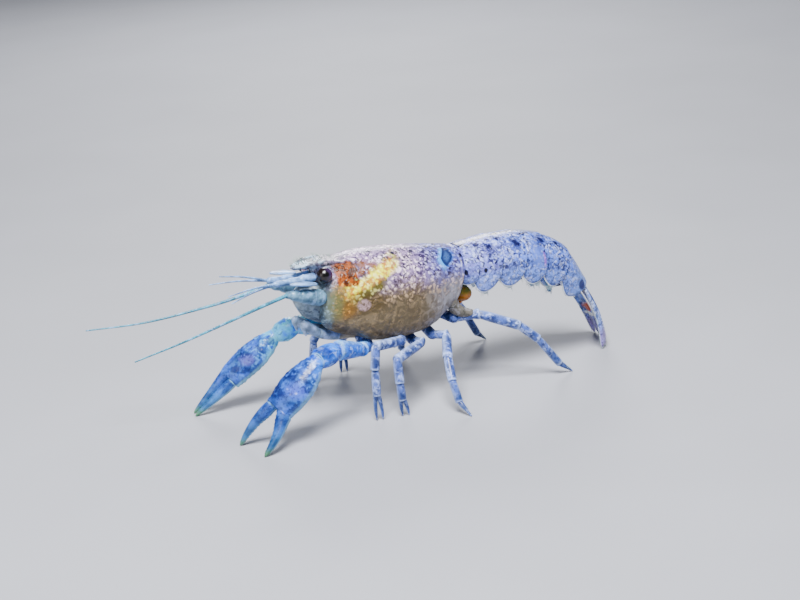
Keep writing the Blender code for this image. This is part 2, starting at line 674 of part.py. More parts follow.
def twig(root, tip):
    """One lash of a short feeler, rooted in the end of its base."""
    root, tip = np.asarray(root, float), np.asarray(tip, float)
    start = root + (0.45, 0.0, 0.0)
    path = start + np.linspace(0, 1, 6)[:, None] * (tip - start)
    radii = np.linspace(0.25, 0.14, 6)
    return lofted(rings_along(path, radii, radii, (0, 1, 0), 6))


def leaf(side):
    """Leaf-shaped scale above the base of the long feeler, with a rib along its outer edge."""
    root, tip = mirrored(SCALE_ROOT, side), mirrored(SCALE_TIP, side)
    along = np.linspace(0, 1, 8)
    across = np.linspace(-1, 1, 5)
    outline = SCALE_HALF_WIDTH * np.sin(math.pi * (0.16 + 0.8 * along)) ** 0.7
    centre = root + along[:, None] * (tip - root)
    wide = unit((0.25, side * 1.0, 0.12))
    up = unit(np.cross(tip - root, wide)) * side * -1
    middle = centre[:, None] + outline[:, None, None] * across[None, :, None] * wide
    rib = 0.1 * across[None, :, None] * up
    half = SCALE_HALF_DEPTH * up
    return plate(middle + half + rib, middle - half)


# Tail


def tail_frame(ring, share):
    """Top point, downward direction, rearward direction and sizes at a share of one tail ring's length."""
    at = ring + share
    keys = np.arange(7)
    top = np.array([through(keys, TAIL_TOP_X, at), 0.0, through(keys, TAIL_TOP_Z, at)])
    lean = math.radians(through(keys, TAIL_LEAN, at))
    down = np.array([-math.sin(lean), 0.0, -math.cos(lean)])
    rear = np.array([math.cos(lean), 0.0, -math.sin(lean)])
    return top, down, rear, through(keys, TAIL_HALF_WIDTH, at), through(keys, TAIL_BELLY, at)


def tail_ring(ring, share, flare):
    """One closed ring of a tail segment: back, side lobes that hang lower in the middle, and belly."""
    top, down, rear, half_width, belly = tail_frame(ring, share)
    lobe = belly + (TAIL_LOBE[ring] - belly) * math.sin(math.pi * min(max(share, 0.04), 0.96)) ** 0.6
    side_depth = 0.74 * belly
    turn = np.radians([0, 20, 40, 60, 78, 95])
    depth = side_depth * (1 - np.cos(turn)) - flare * np.cos(turn)
    back = np.stack([np.sin(turn) * (half_width + flare), depth], 1)
    lower = np.array(
        [
            [half_width + flare - 0.02, side_depth + 0.55 * (lobe - side_depth)],
            [half_width + flare - 0.3, lobe],
            [half_width - TAIL_WALL, lobe - 0.12],
            [half_width - TAIL_WALL - 0.35, belly - 0.35],
            [0.45 * half_width, belly - 0.1],
        ]
    )
    near = np.vstack([back, lower])
    flip = np.array([-1.0, 1.0])
    section = np.vstack([near, [[0.0, belly]], (near[1:] * flip)[::-1]])
    shift = GAP / 2 * (1 if share == 0.0 else -1 if share == 1.0 else 0)
    sideways = np.outer(section[:, 0], (0, 1, 0))
    return top + rear * shift + sideways + np.outer(section[:, 1], down)


def swimmers(ring):
    """Two pairs of flat lashes under one tail ring, rooted in its belly and trailing to the rear."""
    top, down, rear, half_width, belly = tail_frame(ring, 0.5)
    shapes = []
    depths = np.array(SWIMMER_DEPTHS)
    fall = depths - depths[0]
    for side in (LEFT, RIGHT):
        for number, spread in enumerate((SWIMMER_SPREAD, -0.4 * SWIMMER_SPREAD)):
            y = side * (SWIMMER_Y + spread * (fall / fall[-1]) ** 1.3)
            trail = SWIMMER_TRAIL * fall * (1.0 + 0.5 * number)
            path = top + np.outer(depths, down) + np.outer(trail, rear) + np.outer(y, (0, 1, 0))
            shapes.append(lofted(rings_along(path, SWIMMER_RADII[0], SWIMMER_RADII[1], rear, 7)))
    return shapes


def make_tail():
    """Six tail rings; the first carries the rods and the next four the swimming legs."""
    for ring in range(6):
        body = lofted([tail_ring(ring, share, flare) for share, flare in zip(TAIL_STATIONS, TAIL_FLARE)])
        if ring == 0:
            extra = [
                lofted(rings_along(mirrored(ROD_PATH, side), ROD_RADII, ROD_RADII, (0, 1, 0), 8))
                for side in (LEFT, RIGHT)
            ]
        else:
            extra = swimmers(ring) if ring < 5 else []
        add_node(f"abdomen_{ring + 1}", "tail", body, joined=extra)


def fan_point(along, turn, lift):
    """A point of the fan, by its share of the way down, its angle round the cup and its height over it.

    The cup turns about its middle line by FAN_TWIST on the way down.
    """
    root, tip = np.array([FAN_ROOT[0], 0, FAN_ROOT[1]]), np.array([FAN_TIP[0], 0, FAN_TIP[1]])
    way = unit(tip - root)
    outward = np.array([-way[2], 0.0, way[0]])
    across = CUP_ACROSS[0] + (CUP_ACROSS[1] - CUP_ACROSS[0]) * along
    deep = CUP_DEEP[0] + (CUP_DEEP[1] - CUP_DEEP[0]) * along
    y = (across + lift) * np.sin(turn)
    depth = deep * (1 - np.cos(turn)) - lift * np.cos(turn) - FAN_BOW * np.sin(math.pi * along)
    centre = root + along[..., None] * (tip - root)
    twist = math.radians(FAN_TWIST) * along
    y, depth = y * np.cos(twist) + depth * np.sin(twist), depth * np.cos(twist) - y * np.sin(twist)
    return centre + y[..., None] * np.array([0, 1, 0]) - depth[..., None] * outward


def blade(turn_root, turn_tip, half_root, half_wide, length, start=0.0):
    """One blade of the fan as a thin plate on the cup, with a rib down its middle and a round end."""
    t = np.linspace(0, 1, BLADE_ROWS)[:, None]
    q = np.linspace(-1, 1, BLADE_COLUMNS + 1)[None, :]
    full = half_root + (half_wide - half_root) * np.clip(t / 0.35, 0, 1) ** 0.7
    round_end = np.sqrt(np.clip(1 - np.clip((t - 0.78) / 0.22, 0, 1) ** 2, 0.08, 1))
    turn = np.radians(turn_root + (turn_tip - turn_root) * t + q * full * round_end)
    along = start + (length - start) * t + 0.0 * q
    ridge = BLADE_RIDGE * np.exp(-((q / 0.25) ** 2)) * np.sin(math.pi * np.clip(t, 0.05, 0.95)) + 0.0 * t
    top = fan_point(along, turn, BLADE_THICKNESS / 2 + ridge)
    bottom = fan_point(along, turn, np.full_like(turn, -BLADE_THICKNESS / 2))
    points, faces = plate(top, bottom)
    share = np.concatenate([along.ravel(), along.ravel()]) / length
    points[:, 2] -= points[:, 2].min() * share
    return points, faces


def make_fan():
    """Telson in the middle and two blades on each side of it."""
    add_node("telson", "tail", blade(0.0, 0.0, 25.0, 22.5, 0.95))
    for side in (LEFT, RIGHT):
        name = SIDE_NAMES[side]
        add_node(f"uropod_inner_{name}", "tail", blade(side * 45, side * 40.5, 9.0, 11.5, 0.97, 0.04))
        add_node(f"uropod_outer_{name}", "tail", blade(side * 76, side * 73.5, 8.0, 11.5, 0.965, 0.03))


def stand_on_floor():
    """Hangs every piece from one empty, placed so that the middle of the footprint is the origin."""
    pieces = [item for item in bpy.context.scene.objects if item.type == "MESH"]
    corners = np.vstack([[list(vertex.co) for vertex in item.data.vertices] for item in pieces])
    low, high = corners.min(0), corners.max(0)
    root = bpy.data.objects.new("crayfish", None)
    root.location = (-(low[0] + high[0]) / 2, -(low[1] + high[1]) / 2, -low[2])
    bpy.context.scene.collection.objects.link(root)
    for item in pieces:
        item.parent = root


def main():
    for item in list(bpy.data.objects):
        bpy.data.objects.remove(item)
    make_head()
    make_breast()
    make_tail()
    make_fan()
    make_claws()
    make_legs()
    make_feelers()
    stand_on_floor()
    bpy.context.view_layer.update()


main()
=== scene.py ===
"""Looks of the dwarf crayfish: shell plates, limbs, feelers, eyes and hairs, their finishes, floor, light and camera.

Shapes are worked out in the animal's own millimetres: it faces -X, its left side is -Y and the floor is z = 0.
Every plate and limb is a loft of closed rings, which are arrays of rows x sides x 3.
"""

import math

import bpy
import numpy as np
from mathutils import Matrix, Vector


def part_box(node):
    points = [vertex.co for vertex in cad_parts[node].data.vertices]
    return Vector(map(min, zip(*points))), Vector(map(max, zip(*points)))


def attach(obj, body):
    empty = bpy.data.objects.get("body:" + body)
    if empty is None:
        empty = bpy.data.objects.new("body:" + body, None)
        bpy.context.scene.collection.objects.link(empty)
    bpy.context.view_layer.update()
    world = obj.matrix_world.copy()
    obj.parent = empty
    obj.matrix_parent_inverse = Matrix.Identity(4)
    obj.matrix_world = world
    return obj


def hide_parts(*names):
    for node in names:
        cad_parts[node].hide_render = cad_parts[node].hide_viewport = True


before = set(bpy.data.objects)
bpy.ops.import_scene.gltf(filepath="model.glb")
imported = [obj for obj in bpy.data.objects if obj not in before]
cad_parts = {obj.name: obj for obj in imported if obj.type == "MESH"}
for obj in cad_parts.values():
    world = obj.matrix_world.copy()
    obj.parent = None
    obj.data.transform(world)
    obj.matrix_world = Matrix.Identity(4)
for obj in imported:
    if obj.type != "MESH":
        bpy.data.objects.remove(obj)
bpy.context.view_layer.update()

MM = 0.001
LEFT, RIGHT = -1, 1
SIDES = {LEFT: "left", RIGHT: "right"}
BEAK_TIP_X, SHELL_REAR_X = -13.3, 3.3
shell_low, shell_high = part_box("carapace")
SHIFT = np.array(
    [
        (shell_low[0] - BEAK_TIP_X * MM + shell_high[0] - SHELL_REAR_X * MM) / 2,
        (shell_low[1] + shell_high[1]) / 2,
        0.0,
    ]
)
draw = np.random.default_rng(7)
LIGHT_LEVEL = 2.2
LAMPS = 1.4

# Carapace, at stations along X
SHELL_X = (-11.3, -10.9, -10.2, -8.8, -6.8, -4.4, -1.8, 0.4, 2.0, 3.3)
SHELL_TOP = (13.6, 13.98, 14.25, 14.45, 14.6, 14.45, 14.1, 13.7, 13.4, 13.05)
SHELL_RIM_Z = (9.0, 8.45, 8.05, 7.6, 7.2, 6.75, 6.45, 6.75, 7.65, 8.6)
SHELL_HALF_WIDTH = (2.0, 2.5, 2.8, 3.15, 3.5, 3.75, 3.8, 3.65, 3.4, 3.2)
SHELL_RIM_Y = (1.2, 1.6, 1.9, 2.2, 2.45, 2.6, 2.6, 2.5, 2.4, 2.3)
SHELL_WIDEST = 0.42
SHELL_RECESS = 1.0
REAR_LEAN = 0.3
SHELL_ROWS = 200
SHELL_ARC = 110
GROOVE_X = -3.6
GROOVE_SWEEP = 2.6
GROOVE_SPREAD = 3.5
GROOVE_DEPTH = 0.045
ORBIT_DEPTH = 0.95
ORBIT_TURN = 0.66
ORBIT_SPREAD = 0.36

# Rostrum
BEAK_X = (-8.5, -9.2, -10.2, -11.2, -12.0, -12.6, -13.0, -13.28)
BEAK_TOP = (14.2, 14.42, 14.5, 14.54, 14.48, 14.38, 14.3, 14.22)
BEAK_HALF_WIDTH = (1.5, 1.38, 1.28, 1.14, 0.95, 0.68, 0.4, 0.08)
BEAK_DEPTH = (0.9, 1.0, 0.85, 0.66, 0.54, 0.46, 0.36, 0.12)

# Eyes
EYE_CENTRE = (-10.95, 2.05, 13.52)
EYE_ROOT = (-10.85, 1.15, 13.2)
EYE_RADIUS = 0.73
STALK_RADIUS = 0.5

# Face
FACE_X = (-10.6, -11.6, -12.4, -13.0, -13.3)
FACE_HALF_WIDTH = (1.5, 1.05, 0.88, 0.7, 0.4)
FACE_TOP = (12.6, 12.45, 12.35, 12.2, 11.9)
FACE_BOTTOM = (8.5, 8.85, 9.4, 10.4, 11.2)

# Breast plate
BREAST_X = (-9.4, -7.4, -4.9, -2.8, -0.8, 1.0, 1.9)
BREAST_Z = (7.3, 7.1, 6.75, 6.45, 6.45, 7.15, 7.7)
BREAST_HALF_WIDTH = (0.9, 1.35, 1.5, 1.5, 1.5, 1.3, 0.7)
BREAST_HALF_DEPTH = 0.7

# Tail
TAIL_TOP_X = (3.45, 4.75, 7.2, 9.85, 12.5, 15.1, 17.15)
TAIL_TOP_Z = (13.05, 13.12, 13.26, 13.1, 12.42, 10.75, 7.25)
TAIL_LEAN = (16.7, 14.0, 13.0, 14.0, 19.0, 33.0, 60.0)
TAIL_HALF_WIDTH = (2.85, 3.0, 3.1, 3.05, 2.9, 2.6, 2.1)
TAIL_BELLY = (2.9, 2.99, 3.1, 3.15, 3.1, 2.8, 1.9)
TAIL_LOBE = (3.3, 4.45, 4.45, 4.42, 4.2, 3.25)
TAIL_WALL = 0.55
TAIL_STATIONS = (0.0, 0.06, 0.14, 0.3, 0.5, 0.7, 0.84, 0.94, 1.0)
TAIL_FLARE = (-0.16, -0.09, -0.02, 0.02, 0.05, 0.07, 0.09, 0.11, 0.06)
TAIL_OVERLAP = 0.16
TAIL_ROWS, TAIL_SIDES = 60, 168

# Tail fan
FAN_ROOT = (16.95, 6.55)
FAN_TIP = (19.75, 0.0)
FAN_BOW = 0.35
CUP_ACROSS = (1.95, 2.5)
CUP_DEEP = (0.7, 0.85)
FAN_TWIST = 27.0
BLADE_THICKNESS = 0.3

# Limbs, hip to toe
LEG_RADII = (0.4, 0.46, 0.42, 0.37, 0.26)
TOE_RADIUS = 0.07
LEG_JOINTS = {
    (2, LEFT): ((-4.75, -2.35, 5.85), (-4.4, -3.4, 6.3), (-7.7, -4.7, 6.8), (-8.1, -5.0, 4.8), (-8.4, -5.3, 0.0)),
    (3, LEFT): ((-2.75, -2.35, 5.7), (-2.3, -3.3, 5.6), (-5.85, -5.1, 5.25), (-6.0, -5.6, 3.2), (-6.0, -5.8, 0.0)),
    (4, LEFT): (
        (-0.65, -2.35, 5.75),
        (0.25, -3.4, 5.8),
        (-1.05, -5.8, 4.65),
        (-1.6, -7.4, 2.9),
        (-1.5, -8.3, 1.15),
        (-1.1, -9.7, 0.0),
    ),
    (5, LEFT): (
        (1.75, -2.3, 6.8),
        (3.9, -3.2, 7.0),
        (7.4, -4.5, 5.45),
        (9.1, -4.9, 3.9),
        (11.1, -5.3, 1.1),
        (12.4, -5.5, 0.0),
    ),
    (2, RIGHT): ((-4.85, 2.35, 5.85), (-5.4, 3.4, 6.2), (-8.0, 5.6, 6.4), (-8.7, 6.5, 4.5), (-9.1, 7.0, 0.0)),
    (3, RIGHT): ((-2.85, 2.35, 5.7), (-3.2, 3.4, 5.9), (-4.7, 6.5, 5.8), (-5.1, 7.6, 3.9), (-5.3, 8.1, 0.0)),
    (4, RIGHT): (
        (-0.75, 2.35, 5.75),
        (-0.5, 3.4, 5.9),
        (0.7, 6.5, 5.4),
        (1.2, 7.7, 3.3),
        (1.5, 8.4, 0.98),
        (2.1, 9.5, 0.0),
    ),
    (5, RIGHT): (
        (1.7, 2.3, 6.8),
        (3.3, 3.3, 7.0),
        (6.2, 5.4, 5.6),
        (7.7, 6.4, 3.8),
        (9.4, 7.2, 1.1),
        (10.6, 7.6, 0.0),
    ),
}
COXA_X = {1: -7.2, 2: -4.9, 3: -2.9, 4: -0.9, 5: 1.0}
COXA_ROOT_Y = 0.7
PINCER_SPREAD = (0.56, -0.12, 0.0)

# Claws
CLAW_HIP = {LEFT: (-7.5, -2.3, 6.15), RIGHT: (-7.5, 2.3, 6.2)}
CLAW_BEND = {LEFT: (-8.5, -3.4, 6.35), RIGHT: (-8.6, 3.2, 6.6)}
CLAW_ELBOW = {LEFT: (-11.5, -4.4, 7.2), RIGHT: (-11.4, 3.9, 7.45)}
CLAW_WRIST = {LEFT: (-13.75, -5.15, 6.95), RIGHT: (-13.2, 4.8, 6.55)}
CLAW_KNUCKLE = {LEFT: (-17.8, -5.25, 3.35), RIGHT: (-17.7, 6.0, 3.05)}
FIXED_TIP = {LEFT: (-20.3, -6.9, 0.0), RIGHT: (-21.2, 6.9, 0.0)}
FINGER_TIP = {LEFT: (-20.95, -3.1, 0.0), RIGHT: (-21.4, 6.1, 0.0)}
WRIST_HALF_WIDTH = (0.62, 0.98, 1.1, 1.02, 0.78)
WRIST_HALF_DEPTH = (0.58, 0.9, 1.0, 0.92, 0.7)
WRIST_ROWS = 50
PALM_ACROSS = {LEFT: (0.33, -0.87, -0.37), RIGHT: (-0.1, 0.8, 0.6)}
PALM_SCALE = {LEFT: 1.0, RIGHT: 0.86}
PALM_SHARES = (0.0, 0.1, 0.25, 0.48, 0.72, 0.9, 1.0)
PALM_HALF_WIDTH = (0.78, 0.98, 1.34, 1.64, 1.64, 1.5, 1.4)
PALM_HALF_DEPTH = (0.66, 0.82, 1.0, 1.1, 1.02, 0.88, 0.74)
HAND_ROWS, HAND_SIDES = 170, 88
FINGER_SHARES = (0.04, 0.2, 0.45, 0.72, 0.92)
FINGER_HALF_WIDTH = (0.66, 0.6, 0.48, 0.34, 0.2)
FINGER_HALF_DEPTH = (0.66, 0.54, 0.43, 0.32, 0.2)
FINGER_ROWS, FINGER_SIDES = 90, 64
FINGER_OFFSET = {LEFT: 0.82, RIGHT: 0.56}
FINGER_BOW = {LEFT: 0.3, RIGHT: 0.04}
FIXED_SWELL = {LEFT: (0.18, 0.04, 0.0, 0.0, 0.0), RIGHT: (0.12, 0.06, 0.0, 0.0, 0.0)}
FIXED_OFFSET = {LEFT: 0.56, RIGHT: 0.44}

# Feelers and mouthparts, for the right side
FEELER_BASE = (
    (-11.2, 1.9, 11.45), (-11.9, 1.98, 11.65), (-12.9, 2.0, 11.93), (-13.8, 1.98, 12.2), (-14.75, 1.96, 12.43),
)
FEELER = {
    LEFT: ((-14.6, -2.0, 12.45), (-17.5, -2.55, 12.1), (-20.4, -3.2, 11.75), (-25.7, -4.6, 11.25), (-31.0, -6.6, 11.2)),
    RIGHT: ((-14.6, 2.05, 12.35), (-17.6, 2.8, 11.6), (-20.4, 3.5, 11.1), (-25.6, 5.0, 10.4), (-30.5, 7.2, 10.1)),
}
SCALE_ROOT = (-11.9, 2.2, 12.97)
SCALE_TIP = (-14.4, 2.15, 13.38)
SMALL_FEELER_BASE = ((-11.3, 0.55, 13.1), (-12.8, 0.58, 13.1), (-14.2, 0.66, 13.15), (-15.4, 0.75, 13.25))
SMALL_FEELER_TIPS = {
    LEFT: ((-20.3, -2.1, 13.5), (-19.7, -1.2, 12.5)),
    RIGHT: ((-19.9, 0.6, 14.6), (-20.4, 2.0, 13.6)),
}
MOUTH_LEG = ((-9.8, 0.75, 7.2), (-11.4, 0.8, 7.85), (-12.95, 0.88, 9.1), (-12.75, 0.92, 7.9))

# Swimming legs and rods
SWIMMER_Y = 1.25
SWIMMER_DEPTHS = (2.3, 3.4, 4.2, 4.9)
SWIMMER_RADII = ((0.3, 0.34, 0.42, 0.16), (0.24, 0.16, 0.12, 0.07))
SWIMMER_TRAIL = 0.32
SWIMMER_SPREAD = 0.55
ROD_PATH = ((3.6, 0.58, 10.6), (3.9, 0.6, 9.0), (3.8, 0.55, 8.0), (3.35, 0.5, 7.5))
ROD_RADII = (0.42, 0.38, 0.34, 0.14)

# Soft fold behind the carapace and the amber swelling in it, for the right side
FOLD_PATH = ((0.9, 2.3, 9.9), (1.3, 2.45, 8.8), (1.75, 2.55, 7.95), (2.4, 2.75, 7.4), (3.3, 3.0, 7.15))
FOLD_RADII = (0.5, 0.66, 0.62, 0.5, 0.34)
SWELLING = (3.25, 1.42, 8.72)
SWELLING_AXIS = (0.96, 0.0, -0.28)
SWELLING_SIZE = (0.95, 0.76)


# Floor, lamps as place, size and power, and camera
FLOOR_REACH = 0.9
SKY_COLOUR, SKY_POWER = (0.86, 0.9, 1.0, 1.0), 0.13
LAMP_SETS = {
    "key": ((-0.05, -0.08, 0.21), 0.09, 1.3),
    "fill": ((-0.2, -0.05, 0.08), 0.14, 0.1),
    "rim": ((0.1, 0.2, 0.11), 0.08, 0.3),
}
LAMP_AIM = (0.0, 0.0, 0.008)
VIEW_TURN, VIEW_RISE, VIEW_ROLL = -27.0, 18.0, 4.0
VIEW_DISTANCE = 190.0
PIXELS_PER_MM = 10.6
ORIGIN_PIXEL = (430.0, 384.0)
PICTURE = (800.0, 600.0)
FILM = 36.0


# Numbers and curves


def through(keys, values, at):
    """Smooth curve through the values at the keys: cubic pieces with harmonic mean slopes, so none overshoots."""
    keys, values = np.asarray(keys, float), np.asarray(values, float)
    at = np.clip(np.asarray(at, float), keys[0], keys[-1])
    step = np.diff(keys)
    slope = np.diff(values) / step
    product = slope[:-1] * slope[1:]
    total = np.where(product > 0, slope[:-1] + slope[1:], 1.0)
    tangent = np.concatenate([slope[:1], np.where(product > 0, 2.0 * product / total, 0.0), slope[-1:]])
    i = np.clip(np.searchsorted(keys, at, side="right") - 1, 0, len(step) - 1)
    t = (at - keys[i]) / step[i]
    rise = values[i + 1] - values[i]
    bend = tangent[i] * (1 - t) - tangent[i + 1] * t
    return values[i] + rise * t * t * (3 - 2 * t) + step[i] * t * (1 - t) * bend


def falling(keys, values, at):
    """The same curve for keys that fall."""
    return through(np.asarray(keys)[::-1], np.asarray(values)[::-1], at)


def unit(vector):
    vector = np.asarray(vector, float)
    return vector / np.linalg.norm(vector, axis=-1, keepdims=True)


def mirrored(points, side):
    return np.asarray(points, float) * (1.0, side, 1.0)


def smooth_path(points, count):
    """Evenly spread points on the Catmull-Rom curve through the given ones, measured by chord length."""
    points = np.asarray(points, float)
    padded = np.vstack([2 * points[0] - points[1], points, 2 * points[-1] - points[-2]])
    reach = np.concatenate([[0], np.cumsum(np.linalg.norm(np.diff(points, axis=0), axis=1))])
    place = np.interp(np.linspace(0, reach[-1], count), reach, np.arange(len(points)))
    i = np.clip(place.astype(int), 0, len(points) - 2)
    return curve_between(*(padded[i + k] for k in range(4)), (place - i)[:, None])


def curve_between(a, b, c, d, t):
    """Catmull-Rom: the cubic from b to c whose slopes are those of the chords a-c and b-d."""
    return 0.5 * (2 * b + (c - a) * t + (2 * a - 5 * b + 4 * c - d) * t**2 + (3 * b - a - 3 * c + d) * t**3)


def bell(distance, width, power=2):
    """A smooth bump: 1 in the middle and near 0 beyond twice its width."""
    return np.exp(-((distance / width) ** power))


def turns(sides):
    return 2 * math.pi * np.arange(sides) / sides


def scallops(place, pitch):
    """Even waves from 0 to 1, with a crest at 0 and then at every pitch."""
    return 0.5 + 0.5 * np.cos(2 * math.pi * place / pitch)


# Rings and lofts


def rings_along(path, half_width, half_depth, across, sides, directions=None):
    """Ellipses square to a path, with their width as near as can be to the given direction."""
    path = np.asarray(path, float)
    along = unit(np.gradient(path, axis=0) if directions is None else np.asarray(directions, float))
    across = np.broadcast_to(np.asarray(across, float), path.shape)
    wide = unit(across - np.sum(across * along, axis=1, keepdims=True) * along)
    deep = np.cross(along, wide)
    turn = turns(sides)
    half_width = np.broadcast_to(half_width, len(path))[:, None, None]
    half_depth = np.broadcast_to(half_depth, len(path))[:, None, None]
    spread = half_width * np.cos(turn)[None, :, None] * wide[:, None]
    return path[:, None] + spread + half_depth * np.sin(turn)[None, :, None] * deep[:, None]


def refined(rings, rows, sides):
    """Rings resampled by Catmull-Rom curves, first round each ring and then from ring to ring."""
    rings = np.asarray(rings, float)
    count, old = rings.shape[:2]
    place = np.arange(sides) * old / sides
    j = place.astype(int)
    t = (place - j)[None, :, None]
    fine = curve_between(*(rings[:, (j + k) % old] for k in (-1, 0, 1, 2)), t)
    padded = np.concatenate([2 * fine[:1] - fine[1:2], fine, 2 * fine[-1:] - fine[-2:-1]])
    place = np.linspace(0, count - 1, rows)
    i = np.clip(place.astype(int), 0, count - 2)
    return curve_between(*(padded[i + k] for k in range(4)), (place - i)[:, None, None])


def normals_of(rings):
    """Outward directions at the points of a grid of closed rings, from the products of its two slopes."""
    along = np.gradient(rings, axis=0)
    around = np.roll(rings, -1, axis=1) - np.roll(rings, 1, axis=1)
    normal = np.cross(along, around)
    normal /= np.linalg.norm(normal, axis=2, keepdims=True) + 1e-12
    outward = rings - rings.mean(axis=1, keepdims=True)
    return normal * (1.0 if np.sum(normal * outward) > 0 else -1.0)


def pushed(rings, height):
    """Rings moved along their normals by a height in millimetres at each point, but not at the two ends."""
    height = np.array(np.broadcast_to(height, rings.shape[:2]))
    height[0] = height[-1] = 0.0
    return rings + normals_of(rings) * height[..., None]


def grains(rings, count, radius, height, allowed=None):
    """Height of round grains: bell shapes added at points drawn from the grid where they are allowed."""
    flat = rings.reshape(-1, 3)
    places = np.arange(len(flat)) if allowed is None else np.flatnonzero(allowed.ravel())
    total = np.zeros(len(flat))
    for centre in flat[draw.choice(places, count)]:
        size = radius * draw.uniform(0.7, 1.3)
        total += height * np.exp(-(np.sum((flat - centre) ** 2, axis=1) / size**2) ** 1.5)
    return total.reshape(rings.shape[:2])


def lofted(rings, marks=None):
    """A closed body through the rings: its points, quads, end triangles, and the marks of its points."""
    rings = np.asarray(rings, float)
    count, sides = rings.shape[:2]
    points = np.vstack([rings.reshape(-1, 3), rings[0].mean(0), rings[-1].mean(0)])
    index = np.arange(count * sides).reshape(count, sides)
    nxt = np.roll(index, -1, axis=1)
    quads = np.stack([index[:-1], nxt[:-1], nxt[1:], index[1:]], axis=-1).reshape(-1, 4)
    first, last = count * sides, count * sides + 1
    start = np.stack([np.full(sides, first), nxt[0], index[0]], axis=1)
    end = np.stack([np.full(sides, last), index[-1], nxt[-1]], axis=1)
    marks = np.zeros((count, sides)) if marks is None else np.broadcast_to(marks, (count, sides))
    marks = np.concatenate([marks.ravel(), [marks[0].mean(), marks[-1].mean()]])
    corners = rings[:-1], np.roll(rings, -1, axis=1)[:-1], rings[1:]
    spokes = [corner - points[first] for corner in corners]
    volume = np.sum(np.cross(spokes[0], spokes[1]) * spokes[2])
    if volume < 0:
        quads, start, end = quads[:, ::-1], start[:, ::-1], end[:, ::-1]
    return points, quads, np.vstack([start, end]), marks


def tube(path, radii, sides, across=(0, 1, 0), marks=None, directions=None):
    """A closed body of round rings along a path."""
    return lofted(rings_along(path, radii, radii, across, sides, directions), marks)


def together(shapes):
    """Several bodies as one, with their points numbered on."""
    offset, parts = 0, ([], [], [], [])
    for points, quads, triangles, marks in shapes:
        for store, part in zip(parts, (points, quads + offset, triangles + offset, marks)):
            store.append(part)
        offset += len(points)
    return tuple(np.concatenate(store) for store in parts)


def hairs(roots, ways, lengths, radius, bend=(0, 0, 0)):
    """Thin cones of four sides, each from a root along its way and bent towards one direction at its tip."""
    roots, ways = np.asarray(roots, float), unit(ways)
    lengths = np.broadcast_to(lengths, len(roots))[:, None]
    side = unit(np.cross(ways, (0.31, 0.52, 0.79)))
    other = np.cross(ways, side)
    shares = np.array([0.0, 0.35, 0.7, 1.0])
    turn = np.arange(4) * math.pi / 2
    centre = roots[:, None] + shares[None, :, None] * (ways * lengths)[:, None]
    centre = centre + (shares**2)[None, :, None] * (lengths * np.asarray(bend, float))[:, None]
    size = radius * (1.0 - 0.85 * shares)[None, :, None, None]
    ring = np.cos(turn)[None, :, None] * side[:, None] + np.sin(turn)[None, :, None] * other[:, None]
    points = centre[:, :, None] + size * ring[:, None]
    index = np.arange(16).reshape(4, 4)
    nxt = np.roll(index, -1, axis=1)
    quads = np.stack([index[:-1], index[1:], nxt[1:], nxt[:-1]], axis=-1).reshape(-1, 4)
    caps = np.array([[0, 1, 2, 3], [15, 14, 13, 12]])
    quads = np.vstack([quads, caps])
    offsets = (16 * np.arange(len(roots)))[:, None, None]
    quads = (quads[None] + offsets).reshape(-1, 4)
    marks = np.broadcast_to(shares[None, :, None], points.shape[:3]).ravel()
    return points.reshape(-1, 3), quads, np.zeros((0, 3), int), marks


def part(node, kind, shape, finish, slot):
    """The visible piece that stands for one node, named after it."""
    piece(f"{node}_{kind}", shape, finish, slot, node)


def piece(name, shape, finish, slot, *nodes):
    """One visible piece, in world metres, that rides on the body and stands for the named nodes."""
    points, quads, triangles, marks = shape
    mesh = bpy.data.meshes.new(name)
    mesh.vertices.add(len(points))
    mesh.vertices.foreach_set("co", (points * MM + SHIFT).astype(np.float32).ravel())
    corners = np.concatenate([quads.ravel(), triangles.ravel()]).astype(np.int32)
    sizes = np.concatenate([np.full(len(quads), 4), np.full(len(triangles), 3)])
    mesh.loops.add(len(corners))
    mesh.loops.foreach_set("vertex_index", corners)
    mesh.polygons.add(len(sizes))
    mesh.polygons.foreach_set("loop_start", np.concatenate([[0], np.cumsum(sizes)[:-1]]).astype(np.int32))
    mesh.update(calc_edges=True)
    mesh.validate()
    attribute = mesh.attributes.new("mark", "FLOAT", "POINT")
    attribute.data.foreach_set("value", marks.astype(np.float32))
    mesh.shade_smooth()
    item = bpy.data.objects.new(name, mesh)
    bpy.context.scene.collection.objects.link(item)
    mesh.materials.append(FINISH[finish])
    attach(item, "root")
    if nodes:
        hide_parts(*nodes)


# Finishes

# The view's tone curve: its inner colours, what it shows of greys, and the way back to screen colours
VIEW_IN = np.array([[0.5448, 0.3738, 0.0814], [0.1404, 0.7554, 0.1042], [0.0888, 0.1789, 0.7323]])
VIEW_MID = np.array([[1.1271, -0.1106, -0.0165], [-0.1413, 1.1578, -0.0165], [-0.1413, -0.1106, 1.2519]])
VIEW_OUT = np.array([[1.6605, -0.5876, -0.0728], [-0.1246, 1.1329, -0.0083], [-0.0182, -0.1006, 1.1187]])
GREY_LIGHT = (0.005, 0.015, 0.04, 0.1, 0.18, 0.3, 0.5, 0.8, 1.2, 2.0, 3.5, 6.0, 12.0)
GREY_SHOWN = (8.8, 25.8, 50.5, 86.8, 117.6, 145.4, 169.6, 188.6, 202.5, 217.2, 230.3, 240.5, 251.1)
VIEW_POWER = 2.2
SHEEN = 0.015
WHITEST = 0.9
CORRECTIONS = 60

# Light that falls on the sides and back of the body, as multiples of a white card's
TOP, FLANK, LOW, FRONT = 3.0, 1.9, 1.25, 1.15
TAIL_LIGHT, FAN_LIGHT, LEG_LIGHT = 2.2, 1.0, 2.2
CLAW_LIGHT = {LEFT: 2.2, RIGHT: 1.8}
ARM_LIGHT = {LEFT: 2.3, RIGHT: 1.15}


